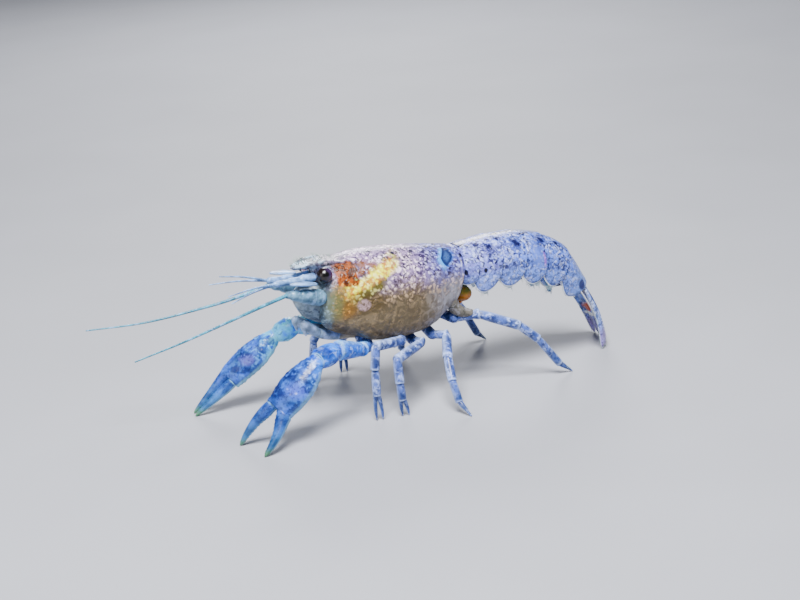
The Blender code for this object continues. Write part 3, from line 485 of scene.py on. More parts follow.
def linear(screen):
    screen = np.asarray(screen, float) / 255.0
    return np.where(screen <= 0.04045, screen / 12.92, ((screen + 0.055) / 1.055) ** 2.4)


def shown(light):
    """What the view shows of a light: one curve on the logarithm of each inner colour, then a power."""
    inner = np.interp(np.log2(VIEW_IN @ light), np.log2(GREY_LIGHT), linear(GREY_SHOWN) ** (1 / VIEW_POWER))
    return VIEW_OUT @ np.maximum(VIEW_MID @ inner, 0.0) ** VIEW_POWER


def colour(red, green, blue, light):
    """The paint that shows a 0 to 255 screen colour under a light, found by correcting a guess in small steps."""
    light = light * LAMPS
    wanted = np.maximum(linear((red, green, blue)), 1e-4)
    glow = np.maximum(wanted, 0.003)
    for _ in range(CORRECTIONS):
        glow = np.clip(glow * (wanted / np.maximum(shown(glow), 1e-4)) ** 0.7, 0.003, WHITEST * light)
    return (*np.clip(glow / light - SHEEN, 0.002, WHITEST).tolist(), 1.0)


class Value:
    """A number that changes over the surface: a socket that takes part in ordinary arithmetic."""

    def __init__(self, finish, socket):
        self.finish, self.socket = finish, socket

    def math(self, operation, *others):
        made = self.finish.node("ShaderNodeMath", {"operation": operation}, [self, *others])
        return Value(self.finish, made.outputs[0])

    def reflected(self, operation, other):
        made = self.finish.node("ShaderNodeMath", {"operation": operation}, [other, self])
        return Value(self.finish, made.outputs[0])

    def __add__(self, other):
        return self.math("ADD", other)

    def __sub__(self, other):
        return self.math("SUBTRACT", other)

    def __mul__(self, other):
        return self.math("MULTIPLY", other)

    def __truediv__(self, other):
        return self.math("DIVIDE", other)

    def __rsub__(self, other):
        return self.reflected("SUBTRACT", other)

    __radd__, __rmul__ = __add__, __mul__

    def either(self, other):
        return self.math("MAXIMUM", other)

    def size(self):
        return self.math("ABSOLUTE")

    def step(self, low, high):
        """0 below low, 1 above high and smooth between; the other way round where low is the larger."""
        settings = {"interpolation_type": "SMOOTHSTEP"}
        ends = (low, high, 0.0, 1.0) if low < high else (high, low, 1.0, 0.0)
        made = self.finish.node("ShaderNodeMapRange", settings, [self, *ends])
        return Value(self.finish, made.outputs[0])


class Finish:
    """One material: a node tree with shared coordinates in the animal's own millimetres.

    Its colours are given as the picture shows them, (red, green, blue) or (red, green, blue, light), where light is
    the light on that place and otherwise the finish's own.
    """

    def __init__(self, name, light=LIGHT_LEVEL):
        self.light = light
        self.material = bpy.data.materials.new(name)
        self.material.use_nodes = True
        self.tree = self.material.node_tree
        self.tree.nodes.clear()
        self.place = self.coordinates((1.0, 1.0, 1.0))
        parts = self.node("ShaderNodeSeparateXYZ", {}, [self.place]).outputs
        self.x, self.y, self.z = (Value(self, socket) for socket in parts)
        self.aside = self.y.size()
        self.mark = Value(self, self.node("ShaderNodeAttribute", {"attribute_name": "mark"}, []).outputs["Fac"])

    def node(self, kind, settings, inputs):
        """A node of one type, with its settings set first and then its sockets, by place or by name."""
        made = self.tree.nodes.new(kind)
        for key, value in settings.items():
            setattr(made, key, value)
        pairs = inputs.items() if isinstance(inputs, dict) else enumerate(inputs)
        for key, value in pairs:
            if isinstance(value, Value):
                value = value.socket
            if isinstance(value, bpy.types.NodeSocket):
                self.tree.links.new(value, made.inputs[key])
            else:
                made.inputs[key].default_value = value
        return made

    def coordinates(self, stretch):
        """Object coordinates in millimetres from the animal's origin, stretched along each axis."""
        source = self.node("ShaderNodeTexCoord", {}, []).outputs["Object"]
        scale = np.array(stretch) / MM
        inputs = {"Vector": source, "Location": tuple(-SHIFT * scale), "Scale": tuple(scale)}
        return self.node("ShaderNodeMapping", {}, inputs).outputs[0]

    def noise(self, scale, detail=2.0, distortion=0.0, stretch=None):
        place = self.place if stretch is None else self.coordinates(stretch)
        inputs = {"Vector": place, "Scale": scale, "Detail": detail, "Distortion": distortion}
        return Value(self, self.node("ShaderNodeTexNoise", {}, inputs).outputs[0])

    def cells(self, scale, feature="F1", randomness=1.0, wobble=0.0, stretch=None):
        """Distance to the nearest cell point or cell border, as a share of a cell."""
        place = self.place if stretch is None else self.coordinates(stretch)
        if wobble:
            inputs = {"Vector": place, "Scale": scale * 0.7, "Detail": 1.0}
            shift = self.node("ShaderNodeTexNoise", {}, inputs).outputs["Color"]
            moved = self.node("ShaderNodeVectorMath", {"operation": "SCALE"}, {0: shift, "Scale": wobble}).outputs[0]
            place = self.node("ShaderNodeVectorMath", {"operation": "ADD"}, [place, moved]).outputs[0]
        inputs = {"Vector": place, "Scale": scale, "Randomness": randomness}
        return Value(self, self.node("ShaderNodeTexVoronoi", {"feature": feature}, inputs).outputs["Distance"])

    def patch(self, centre, radii, soft=0.4, both=False):
        """1 inside an ellipsoid and 0 outside, soft over its outer share, with a wavering border."""
        y = self.aside if both else self.y
        total = None
        for value, middle, radius in zip((self.x, y, self.z), centre, radii):
            term = ((value - middle) / radius).math("POWER", 2.0)
            total = term if total is None else total + term
        return (total.math("SQRT") + (self.waver - 0.5) * 0.7).step(1.0 + soft / 2, 1.0 - soft / 2)

    @property
    def waver(self):
        if not hasattr(self, "waver_value"):
            self.waver_value = self.noise(1.6, 3.0)
        return self.waver_value

    def clouds(self, scale, low, high, detail=3.0, distortion=0.0):
        """Blotches: 1 where a noise is above high, 0 where it is below low."""
        return self.noise(scale, detail, distortion).step(low, high)

    def paint(self, tone):
        return colour(*(*tone, self.light)[:4]) if isinstance(tone, tuple) else tone

    def mix(self, base, over, factor):
        """The colour over, laid on the colour base by a factor."""
        inputs = {0: factor, 6: self.paint(base), 7: self.paint(over)}
        return self.node("ShaderNodeMix", {"data_type": "RGBA"}, inputs).outputs[2]

    def layers(self, base, *pairs):
        """A base colour under pairs of a mask and a colour, each laid over the last."""
        for mask, over in pairs:
            base = self.mix(base, over, mask)
        return base

    def finished(self, base, rough, height, depth, **fixed):
        """The surface: a Principled shader with a bump of a height field whose full scale is depth in mm."""
        bump = self.node("ShaderNodeBump", {}, {"Height": height, "Strength": 1.0, "Distance": depth * MM})
        inputs = {"Base Color": base, "Roughness": rough, "Normal": bump.outputs[0]}
        inputs.update({key.replace("_", " "): value for key, value in fixed.items()})
        shader = self.node("ShaderNodeBsdfPrincipled", {}, inputs)
        self.node("ShaderNodeOutputMaterial", {}, [shader.outputs[0]])
        return self.material


def shell_finish():
    """Carapace: white and lilac grains with purple flecks above, a pale net on beige below, and warm patches; the back
    also carries painted light and the lower side painted shade.
    """
    f = Finish("shell", FLANK)
    # The back's lilac-white and the lower side's beige-brown are the shell's own colours; on top of them the back is
    # painted brighter as light from above, and the lower side darker as the shade beneath the body.
    up = (f.z + f.x * 0.06 + (f.waver - 0.5) * 1.6).step(10.2, 12.4)
    low = (f.z + (f.waver - 0.5) * 1.6).step(10.9, 9.3)
    cloud = (f.noise(1.1, 3.0) - 0.5) * 0.9
    ragged = (f.noise(3.2, 3.0) - 0.5) * 0.6
    grain = (f.cells(2.3, wobble=0.8) + ragged - cloud * 0.4).step(0.54, 0.2)
    small = (f.cells(3.9, wobble=0.4) + ragged + cloud * 0.4).step(0.5, 0.2)
    blots = f.noise(2.2, 3.0, 0.9)
    flecks = f.clouds(3.0, 0.55, 0.62, 2.0, 0.6) * f.clouds(1.0, 0.34, 0.5, 2.0)
    net = f.clouds(0.95, 0.46, 0.62, 5.0, 1.6)
    rear = f.x.step(-2.8, 0.8)
    side = f.mix((132, 116, 96), (150, 148, 164), rear)
    under = f.mix((118, 104, 82, LOW), (160, 158, 162, LOW), f.x.step(-2.2, 1.0))
    side = f.layers(
        f.mix(side, under, low),
        (f.clouds(0.8, 0.4, 0.65, 2.0) * 0.4, (110, 92, 74, 1.5)),
        (net * (0.35 + low * 0.45), f.mix((158, 142, 118, 1.5), (180, 180, 184, 1.5), rear)),
        (small * (1 - low) * 0.35, (186, 172, 160)),
        (grain * (1 - low * 0.9) * (0.5 + cloud), (214, 202, 188)),
    )
    back = f.layers(
        f.mix((198, 190, 208, TOP), (144, 156, 206, 2.6), rear),
        (blots.step(0.5, 0.6) * 0.8, (128, 118, 152, 2.6)),
        (small * 0.7, f.mix((214, 206, 220, TOP), (190, 200, 228, TOP), rear)),
        (grain * 0.9, f.mix((232, 228, 236, TOP), (210, 216, 234, TOP), rear)),
        (f.clouds(1.7, 0.57, 0.64, 3.0, 0.8) * 0.75, (104, 94, 134, 2.6)),
        (flecks * 0.9, (70, 60, 98, 2.6)),
        (f.x.step(-7.6, -9.0) * f.z.step(13.7, 14.1) * 0.5, (146, 150, 152, TOP)),
    )
    body = warm_patches(f, f.mix(side, back, up), grain)
    body = f.layers(body, *front_and_marks(f, grain))
    height = grain * 0.6 + f.noise(9.0, 3.0) * 0.4
    return f.finished(body, 0.36 - grain * 0.1, height, 0.045, **shell_gloss())


def warm_patches(f, body, grain):
    """Copper behind the eye, a cream band that rises to the rear, olive and gold below it, and a white knob with
    painted shade round it.
    """
    dots = (f.cells(2.5, wobble=0.9) + (f.noise(3.0, 3.0) - 0.5) * 0.7).step(0.46, 0.1)
    sway = (f.waver - 0.5) * 1.6
    slope = f.z - f.x * 0.34
    along = (f.x + sway).step(-9.9, -8.9) * (f.x + sway).step(-3.2, -4.8)
    band = (slope - 14.9 + sway * 0.5).size().step(0.8, 0.25) * along
    below = (slope - 14.05 + sway * 0.4).size().step(0.65, 0.2) * f.x.step(-9.2, -8.4) * f.x.step(-4.8, -6.2)
    copper = ((f.x + 8.95) + sway * 0.6).size().step(1.2, 0.85)
    copper = copper * ((f.z - 13.2) + sway * 0.5).size().step(1.05, 0.75)
    copper = copper * f.aside.step(0.9, 1.2) * (f.x + sway * 0.3).step(-10.1, -9.75)
    trail = f.patch((-7.2, 2.2, 13.45), (1.5, 1.2, 0.6), 0.9, True) * f.clouds(2.0, 0.42, 0.54, 2.0)
    gold = f.patch((-9.9, 2.8, 11.2), (1.5, 1.5, 1.6), 0.9, True)
    rust = f.patch((-9.5, 2.9, 10.1), (0.9, 1.2, 0.7), 1.2, True)
    knob = f.patch((-7.9, 3.4, 10.4), (0.6, 0.9, 0.52), 0.5, True)
    knob = knob * (1 - f.clouds(3.4, 0.52, 0.6, 3.0, 0.6) * 0.75)
    # Painted shade: a darker brown ring round the white knob, where a raised knob would shade the shell.
    shade = f.patch((-7.3, 3.4, 10.5), (1.5, 1.2, 1.0), 0.9, True)
    mottle = f.clouds(1.9, 0.4, 0.6)
    return f.layers(
        body,
        (trail * 0.8, (190, 140, 84, 2.7)),
        (below * 0.9, (146, 134, 78, 2.2)),
        (shade * 0.75, (108, 88, 60, 1.6)),
        (gold * 0.8, f.mix((142, 116, 62, 1.6), (184, 158, 98, 1.6), mottle)),
        (rust * 0.6, (160, 110, 56, 1.4)),
        (band * 0.9, f.mix((218, 184, 122, 2.5), (244, 226, 164, 2.5), mottle)),
        (copper, f.mix((130, 80, 10, 2.7), (208, 144, 54, 2.7), mottle)),
        (grain * (band * 0.85).either(below * 0.35), (240, 230, 206, 2.7)),
        (dots * (copper * 0.7).either(gold * 0.5) * (1 - copper * f.z.step(12.6, 13.1)), (228, 202, 166, 2.2)),
        (knob * 0.85, (196, 182, 184)),
    )


def front_and_marks(f, grain):
    """Masks and colours of the clear blue-grey front, the rear blue gem with its pale rim, and the dark dots."""
    front = (f.x - f.z * 0.1 + (f.waver - 0.5) * 0.7 + 12.0).step(0.75, -0.15) * f.z.step(13.8, 13.1)
    clear = f.mix((98, 116, 128, FRONT), (138, 156, 166, FRONT), f.clouds(1.5, 0.42, 0.62))
    stripe = f.noise(1.0, 2.0, 1.5, stretch=(1.0, 1.0, 2.4)).step(0.5, 0.57) * f.z.step(10.0, 9.3)
    beak = f.x.step(-9.6, -11.2) * f.z.step(13.3, 13.7)
    lean = ((f.x - 1.42) - (f.z - 12.78) * 0.55).size() / 0.7
    gem = lean.math("POWER", 1.25) + ((f.z - 12.78).size() / 0.68).math("POWER", 1.25) + (f.waver - 0.5) * 0.25
    beside = f.aside.step(0.85, 1.1)
    halo = gem.step(2.1, 1.2) * (f.x - f.z * 0.5 + 5.0).step(0.1, -0.5)
    small = big_spots(f, ((-3.8, 1.5), (-1.8, 1.4), (1.2, 0.1), (3.0, 2.05), (-5.9, 0.8), (0.2, 0.7)), 0.17)
    more = big_spots(f, ((-4.6, 2.0), (-4.2, 0.9), (-2.6, 2.0), (-0.9, 2.1), (-7.9, 0.6), (-0.4, 0.2)), 0.12)
    streaks = f.noise(1.0, 2.0, 0.8, stretch=(2.6, 1.0, 0.4)).step(0.5, 0.6)
    streaks = streaks * f.x.step(-1.0, 0.4) * f.z.step(11.2, 10.0)
    moss = f.patch((-10.5, 2.5, 10.6), (0.8, 1.4, 1.3), 1.0, True)
    return (
        (front * 0.9, clear),
        (moss * 0.65, (126, 130, 92, FRONT)),
        (front * grain * 0.25, (186, 200, 208, 1.4)),
        (front * stripe * 0.85, (72, 88, 112, FRONT)),
        (beak * 0.7, f.mix((120, 134, 152, 1.8), (204, 214, 228, 1.8), f.clouds(1.9, 0.42, 0.58))),
        (streaks * 0.5, (178, 178, 186, 1.4)),
        (gem.step(1.6, 1.2) * beside * 0.5, (128, 176, 222, 2.5)),
        (halo * beside * 0.7, (176, 210, 240, 2.5)),
        (gem.step(1.1, 0.9) * beside, f.mix((120, 154, 196, 2.5), (80, 106, 162, 2.5), gem.step(0.2, 0.7))),
        (small, (60, 56, 104, 2.6)),
        (more * 0.85, (92, 82, 126, 2.6)),
    )


def shell_gloss(clear=0.15):
    return {
        "Subsurface_Weight": clear,
        "Subsurface_Radius": (1.0, 0.8, 0.7),
        "Subsurface_Scale": 0.25 * MM,
        "Coat_Weight": 0.12,
        "Coat_Roughness": 0.1,
        "IOR": 1.35,
    }


def big_spots(f, places, radius):
    """Dark spots at given places along the back, the same on both sides, drawn on x and the distance aside."""
    total = None
    for x, y in places:
        reach = ((f.x - x).math("POWER", 2.0) + (f.aside - y).math("POWER", 2.0)).math("SQRT")
        spot = (reach + (f.noise(3.0, 3.0) - 0.5) * radius * 3.0).step(radius * 1.6, radius * 0.8)
        total = spot if total is None else total.either(spot)
    return total * f.z.step(9.5, 10.5)


def tail_finish():
    """Tail: blue with lilac-white grains, navy purple flecks, a dark spot on each ring, white lobe rims with a painted
    shadow line beside them, and a painted highlight along the top.
    """
    f = Finish("tail", TAIL_LIGHT)
    cloud = (f.noise(1.0, 3.0) - 0.5) * 1.0
    ragged = (f.noise(3.2, 3.0) - 0.5) * 0.6
    grain = (f.cells(2.4, wobble=0.8) + ragged - cloud * 0.4).step(0.54, 0.18)
    small = (f.cells(4.0, wobble=0.4) + ragged).step(0.48, 0.16)
    blots = f.noise(2.1, 3.0, 1.0)
    flecks = f.clouds(2.9, 0.54, 0.61, 2.0, 0.6) * f.clouds(0.9, 0.34, 0.5, 2.0)
    back = (f.z + f.x * 0.2 + (f.waver - 0.5) * 1.4).step(11.4, 13.4)
    low = (f.z + (f.x - 8.0).math("MAXIMUM", 0.0) * 0.28 + (f.waver - 0.5)).step(11.1, 10.2)
    smooth = f.patch((10.75, 3.0, 11.2), (0.6, 1.6, 1.2), 0.9, True)
    pink = f.patch((11.5, 3.0, 10.6), (0.13, 1.6, 0.7), 0.8, True)
    last = (f.x - f.z * 0.55 + (f.waver - 0.5) * 0.8).step(10.6, 11.8) * f.aside.step(1.0, 1.6)
    ground = f.mix((140, 166, 214), (170, 192, 228), f.clouds(1.1, 0.4, 0.6))
    skin = f.layers(
        ground,
        ((f.x + (f.waver - 0.5) * 2.0).step(9.5, 5.0) * 0.55, (186, 186, 216)),
        (low * 0.6, (168, 190, 220, 1.6)),
        (blots.step(0.5, 0.6) * (0.5 + back * 0.4) * (1 - smooth * 0.7), (100, 112, 160)),
        (small * (1 - smooth * 0.5) * 0.6, (190, 204, 228)),
        (grain * (1 - smooth * 0.4) * (0.75 + cloud * 0.8), (206, 212, 232)),
        (flecks * (1 - smooth) * (1 - low * 0.4) * 0.85, (66, 70, 112)),
        (f.clouds(1.9, 0.58, 0.65, 3.0, 0.8) * (1 - smooth) * 0.5, (88, 96, 142)),
        (smooth * 0.3, (140, 166, 212)),
        (pink * 0.5, (206, 176, 222)),
        (last * 0.55, (158, 180, 212, 1.6)),
        (last * blots.step(0.5, 0.62) * 0.4, (104, 126, 172, 1.6)),
    )
    places = ((6.0, 2.0), (8.85, 2.05), (11.75, 1.75), (3.6, 0.6), (7.4, 1.1), (10.3, 0.9), (13.6, 1.5), (5.1, 1.2))
    spots = big_spots(f, places, 0.24)
    halo = big_spots(f, places[:3], 0.45)
    pits = f.patch((5.0, 3.05, 10.95), (0.2, 0.8, 0.24), 0.4, True).either(
        f.patch((3.05, 2.65, 11.1), (0.17, 0.8, 0.3), 0.4, True)
    )
    navy = f.patch((15.95, 2.2, 7.1), (0.4, 0.9, 0.5), 0.5, True)
    # Painted highlight: a thin pale line along the top of the tail, where the lamp's light catches its upper edge.
    painted_top_highlight = (f.z + (f.x - 9.0).math("MAXIMUM", 0.0) * 0.45).step(12.95, 13.1) * f.aside.step(0.5, 0.1) * 0.35
    skin = f.layers(
        skin,
        (painted_top_highlight, (214, 210, 190, TOP)),
        (halo * 0.6, (88, 108, 178, 2.4)),
        (spots * 0.95, (48, 60, 128, 2.4)),
        (pits, (48, 44, 88)),
        (navy * 0.9, (44, 56, 116, 1.4)),
        # Painted shadow: a dark line just inside each lobe's white rim, standing in for the shade under the rim.
        (f.mark.step(0.1, 0.35) * f.mark.step(0.6, 0.4) * 0.5, (84, 112, 168)),
        (f.mark.step(0.45, 0.75) * 0.9, (212, 216, 228, 1.4)),
    )
    height = grain * 0.6 + f.noise(9.0, 3.0) * 0.4
    return f.finished(skin, 0.34 - grain * 0.08, height, 0.04, **shell_gloss())


def fan_finish():
    """Fan: grey-blue and lilac with a navy patch and an orange-red spot near the root, and pale clear edges."""
    f = Finish("fan", FAN_LIGHT)
    ground = f.mix((90, 118, 164), (148, 170, 204), f.clouds(1.4, 0.38, 0.62))
    specks = f.clouds(4.0, 0.56, 0.63, 2.0, 0.5)
    veil = f.noise(2.2, 3.0, 0.5, stretch=(1.0, 1.6, 0.5)).step(0.5, 0.6)
    skin = f.layers(
        ground,
        (veil * 0.7, (190, 196, 218)),
        (f.z.step(3.0, 1.0) * 0.45, (190, 176, 202)),
        (specks * 0.8, (76, 78, 132)),
        (f.patch((17.4, 0.6, 5.7), (0.7, 1.6, 0.8), 0.5, True), (42, 56, 116)),
        (f.patch((18.6, 1.25, 3.3), (0.34, 0.7, 0.7), 0.7), (196, 100, 50)),
        (f.patch((18.9, 1.4, 2.55), (0.6, 0.8, 0.24), 0.5), (214, 206, 214)),
        (f.mark * 0.8, (200, 212, 226)),
    )
    height = f.noise(7.0, 3.0)
    return f.finished(skin, 0.3, height, 0.02, Alpha=0.94, **shell_gloss(0.2))


def claw_finish(side):
    """Claws: steel blue with navy blotches and white near the wrist, fine dark dots, teal finger tips, and painted rim
    light along the edges.
    """
    lit = CLAW_LIGHT[side]
    f = Finish(f"claw_{SIDES[side]}", lit)
    arm_lit = ARM_LIGHT[side]
    arm_white = (190, 206, 228, arm_lit) if side == LEFT else (166, 202, 238, arm_lit)
    broad = f.clouds(0.9, 0.36, 0.62, 4.0)
    root = f.x.step(-17.5, -14.5)
    arm = f.x.step(-15.2, -13.9)
    ground = f.mix((80, 124, 188), (122, 162, 216), broad)
    ground = f.mix(ground, f.mix((104, 158, 226, arm_lit), (150, 194, 238, arm_lit), broad), arm)
    mottle = f.noise(1.9, 5.0, 0.6)
    white = mottle.step(0.48, 0.64) * (0.2 + root * 0.75)
    blotch = f.clouds(1.1, 0.5, 0.64, 4.0, 0.6) * (1 - arm * 0.6)
    dark = f.clouds(2.2, 0.55, 0.66, 4.0, 0.8)
    dots = f.cells(3.4, wobble=0.2).step(0.3, 0.14) * (1 - root * 0.5)
    tip = f.z.step(3.2, 1.0)
    if side == LEFT:
        marks = f.patch((-16.4, -4.9, 6.2), (0.9, 1.0, 0.5), 0.6).either(
            f.patch((-17.7, -4.8, 4.9), (0.9, 1.0, 0.55), 0.6)
        )
        pale = f.patch((-16.4, -6.2, 5.0), (0.8, 1.2, 0.7), 0.9)
        warm = (156, 176, 228)
        wrist = f.patch((-13.2, -5.4, 7.6), (0.7, 1.0, 0.5), 0.6)
    else:
        marks = f.patch((-16.9, 4.6, 5.3), (1.1, 1.4, 0.42), 0.5).either(
            f.patch((-16.8, 5.3, 3.9), (0.9, 1.2, 0.36), 0.5)
        )
        pale = f.patch((-16.3, 4.7, 4.8), (0.7, 1.0, 0.5), 0.8)
        warm = (164, 164, 212)
        wrist = f.patch((-14.1, 4.4, 6.3), (0.45, 1.0, 0.4), 0.5)
    skin = f.layers(
        ground,
        (tip * 0.75, f.mix((84, 130, 168), (124, 170, 196), broad)),
        (blotch * 0.7 * (1 - tip * 0.7), (76, 108, 168)),
        (white * 0.9 * (1 - tip), f.mix((168, 200, 231), arm_white, arm)),
        (pale * 0.4, warm),
        (wrist * 0.6, (66, 94, 168)),
        (marks * 0.8 * f.clouds(2.4, 0.34, 0.5), (54, 72, 134)),
        (dark * 0.6 * (1 - tip * 0.4), f.mix((54, 78, 140), (70, 94, 160, arm_lit), arm)),
        (dots * 0.6 * (1 - tip * 0.8), (52, 74, 134)),
        # Pale where marked: the joint rims, and painted rim light along the edges of the arm, palm and fingers.
        (f.mark * 0.6, (196, 216, 236)),
        (f.z.step(0.95, 0.15) * 0.7, (136, 168, 110, 1.6)),
    )
    height = mottle * 0.5 + f.noise(8.0, 3.0) * 0.5
    return f.finished(skin, 0.3, height, 0.03, **shell_gloss(0.18))


def leg_finish():
    """Walking legs and mouth legs: grey-blue with pale joint rings, painted pale rim light along the edges, and cobalt
    streaks low down.
    """
    f = Finish("leg", LEG_LIGHT)
    ground = f.mix((102, 130, 182), (150, 174, 214), f.clouds(1.1, 0.36, 0.62, 4.0))
    streak = f.clouds(1.5, 0.5, 0.64, 4.0, 0.5)
    white = f.clouds(1.8, 0.48, 0.68, 5.0, 0.6)
    low = f.z.step(3.2, 1.4)
    skin = f.layers(
        ground,
        (streak * (0.35 + 0.5 * low), (60, 92, 166)),
        (white * (0.9 - low * 0.5), (204, 212, 232)),
        (low * 0.35, (70, 118, 176)),
        (f.clouds(4.2, 0.58, 0.64, 2.0, 0.5) * 0.6, (66, 78, 140)),
        # Pale where marked: the joint rings, and painted rim light along the edges.
        (f.mark * (0.6 + f.clouds(1.6, 0.35, 0.6, 2.0) * 0.4), (206, 214, 234)),
    )
    height = f.noise(7.0, 3.0)
    return f.finished(skin, 0.3, height, 0.02, **shell_gloss(0.2))


def feeler_finish(name, base, pale, alpha):
    """Feelers, their bases and scales: clear blue with pale edges where marked; on the mouth legs, which share it, the
    marked edges are painted rim light.
    """
    f = Finish(name, 1.8)
    cloud = f.noise(1.4, 3.0)
    skin = f.layers(
        f.mix(base, pale, cloud.step(0.32, 0.68)),
        (f.clouds(2.0, 0.5, 0.64, 4.0) * 0.35, (96, 126, 160)),
        (f.clouds(1.7, 0.54, 0.66, 3.0, 0.5) * 0.4, (196, 208, 222)),
        (f.mark * 0.5, (190, 206, 220, 2.0)),
    )
    return f.finished(skin, 0.28, f.noise(7.0, 2.0), 0.015, Alpha=alpha, **shell_gloss(0.25))


def breast_finish():
    """Underside and face: beige behind, clear grey-blue with dark stripes ahead."""
    f = Finish("breast", 1.0)
    ahead = f.x.step(-8.6, -10.2)
    cloud = f.clouds(1.9, 0.42, 0.62)
    ground = f.mix((150, 140, 126), (124, 138, 146, 0.8), ahead)
    stripe = f.noise(1.3, 2.0, 1.2, stretch=(1.0, 1.0, 2.0)).step(0.52, 0.6)
    skin = f.layers(
        ground,
        (cloud * 0.6, f.mix((176, 168, 156), (158, 170, 178, 0.8), ahead)),
        (stripe * ahead * f.z.step(11.4, 10.0) * 0.7, (78, 90, 112, 0.8)),
    )
    return f.finished(skin, 0.32, f.noise(6.0, 3.0), 0.02, **shell_gloss(0.3))


def skin_finish():
    """Soft fold behind the carapace: cream and grey with faint pale veins."""
    f = Finish("skin")
    ground = f.mix((124, 122, 116), (166, 162, 156), f.clouds(1.3, 0.38, 0.6, 4.0, 1.2))
    skin = f.layers(ground, (f.clouds(2.0, 0.54, 0.64, 3.0, 1.0) * 0.6, (188, 188, 192)))
    return f.finished(skin, 0.3, f.noise(5.0, 3.0), 0.03, **shell_gloss(0.3))


def amber_finish():
    """Rods and swellings: orange below, olive and cream above."""
    f = Finish("amber")
    blend = (f.z + (f.waver - 0.5) * 0.6).step(8.5, 9.2)
    skin = f.layers(
        f.mix((194, 138, 26, 1.3), (160, 158, 96, 1.3), blend),
        (f.clouds(1.8, 0.5, 0.64) * 0.5, (204, 156, 62, 1.1)),
    )
    return f.finished(skin, 0.24, f.noise(4.0, 2.0), 0.02, **shell_gloss(0.4))


def swimmer_finish():
    """Swimming legs: clear, with pale grey-blue clouds."""
    f = Finish("swimmer", 1.0)
    skin = f.mix((138, 166, 186), (196, 210, 222), f.clouds(1.7, 0.42, 0.62))
    return f.finished(skin, 0.25, f.noise(6.0, 2.0), 0.015, Alpha=0.6, **shell_gloss(0.3))


def eye_finish():
    """Cornea: near black purple-brown with a painted violet sheen to the rear and a net of tiny facets."""
    f = Finish("cornea")
    # The lighter violet towards the rear is a painted sheen, laid over the dark purple-brown cornea.
    dark = f.mix((66, 40, 60), (108, 94, 138), f.x.step(-11.3, -10.4))
    middle = f.patch((-11.1, 2.5, 13.75), (0.3, 0.5, 0.26), 0.5, True)
    skin = f.layers(dark, (middle, (20, 14, 24)))
    facets = f.cells(22.0, "DISTANCE_TO_EDGE", 0.4)
    return f.finished(skin, 0.2, facets, 0.006, IOR=1.4, Coat_Weight=0.3, Coat_Roughness=0.05)


def stalk_finish():
    """Eye stalk: grey-lilac, with a pale ring round the cornea."""
    f = Finish("stalk", 1.5)
    skin = f.mix(f.mix((120, 124, 146), (156, 156, 176), f.waver), (216, 204, 212), f.mark)
    return f.finished(skin, 0.3, f.noise(6.0, 2.0), 0.015, **shell_gloss(0.4))


def hair_finish():
    """Hairs: clear grey-green at the root, paler to the tip."""
    f = Finish("hair")
    skin = f.mix((176, 188, 186), (206, 214, 210), f.mark)
    return f.finished(skin, 0.4, f.noise(3.0, 1.0), 0.002, Alpha=0.85, IOR=1.45)


FINISH = {
    "shell": shell_finish(),
    "tail": tail_finish(),
    "fan": fan_finish(),
    LEFT: claw_finish(LEFT),
    RIGHT: claw_finish(RIGHT),
    "leg": leg_finish(),
    "feeler": feeler_finish("feeler", (104, 164, 182, LIGHT_LEVEL), (152, 196, 208, LIGHT_LEVEL), 1.0),
    "mouth": feeler_finish("mouth_leg", (104, 120, 136, 0.55), (152, 166, 184, 0.55), 1.0),
    "base": feeler_finish("feeler_base", (134, 160, 190, 1.6), (184, 202, 222, 1.6), 0.94),
    "stem": feeler_finish("feeler_stem", (116, 148, 166, 1.6), (166, 190, 202, 1.6), 0.94),
    "breast": breast_finish(),
    "skin": skin_finish(),
    "amber": amber_finish(),
    "swimmer": swimmer_finish(),
    "eye": eye_finish(),
    "stalk": stalk_finish(),
    "hair": hair_finish(),
}


# Head


def shell_section(station, turn):
    """Width and height of the carapace at a station and a turn from its top, 0, to its rim, pi."""
    top = through(SHELL_X, SHELL_TOP, station)
    rim_z = through(SHELL_X, SHELL_RIM_Z, station)
    half_width = through(SHELL_X, SHELL_HALF_WIDTH, station)
    rim_y = through(SHELL_X, SHELL_RIM_Y, station)
    widest = rim_z + SHELL_WIDEST * (top - rim_z)
    swing, sine = np.cos(turn), np.clip(np.sin(turn), 0, 1)
    upper = widest + (top - widest) * np.abs(swing) ** 0.92
    lower = widest - (widest - rim_z) * np.abs(swing) ** 0.8
    y = np.where(swing > 0, half_width * sine**0.95, rim_y + (half_width - rim_y) * sine**0.8)
    return y, np.where(swing > 0, upper, lower), top, rim_z


def swept(station, z, top, rim_z):
    """Station moved forward low down before the neck groove, and leant forward towards the rear rim."""
    depth = np.clip((top - z) / (top - rim_z), 0, 1)
    weight = bell(station - GROOVE_X, GROOVE_SPREAD)
    lean = REAR_LEAN * through((-2.0, 3.3), (0.0, 1.0), station) * (top - z)
    return station - GROOVE_SWEEP * depth**1.3 * weight - lean


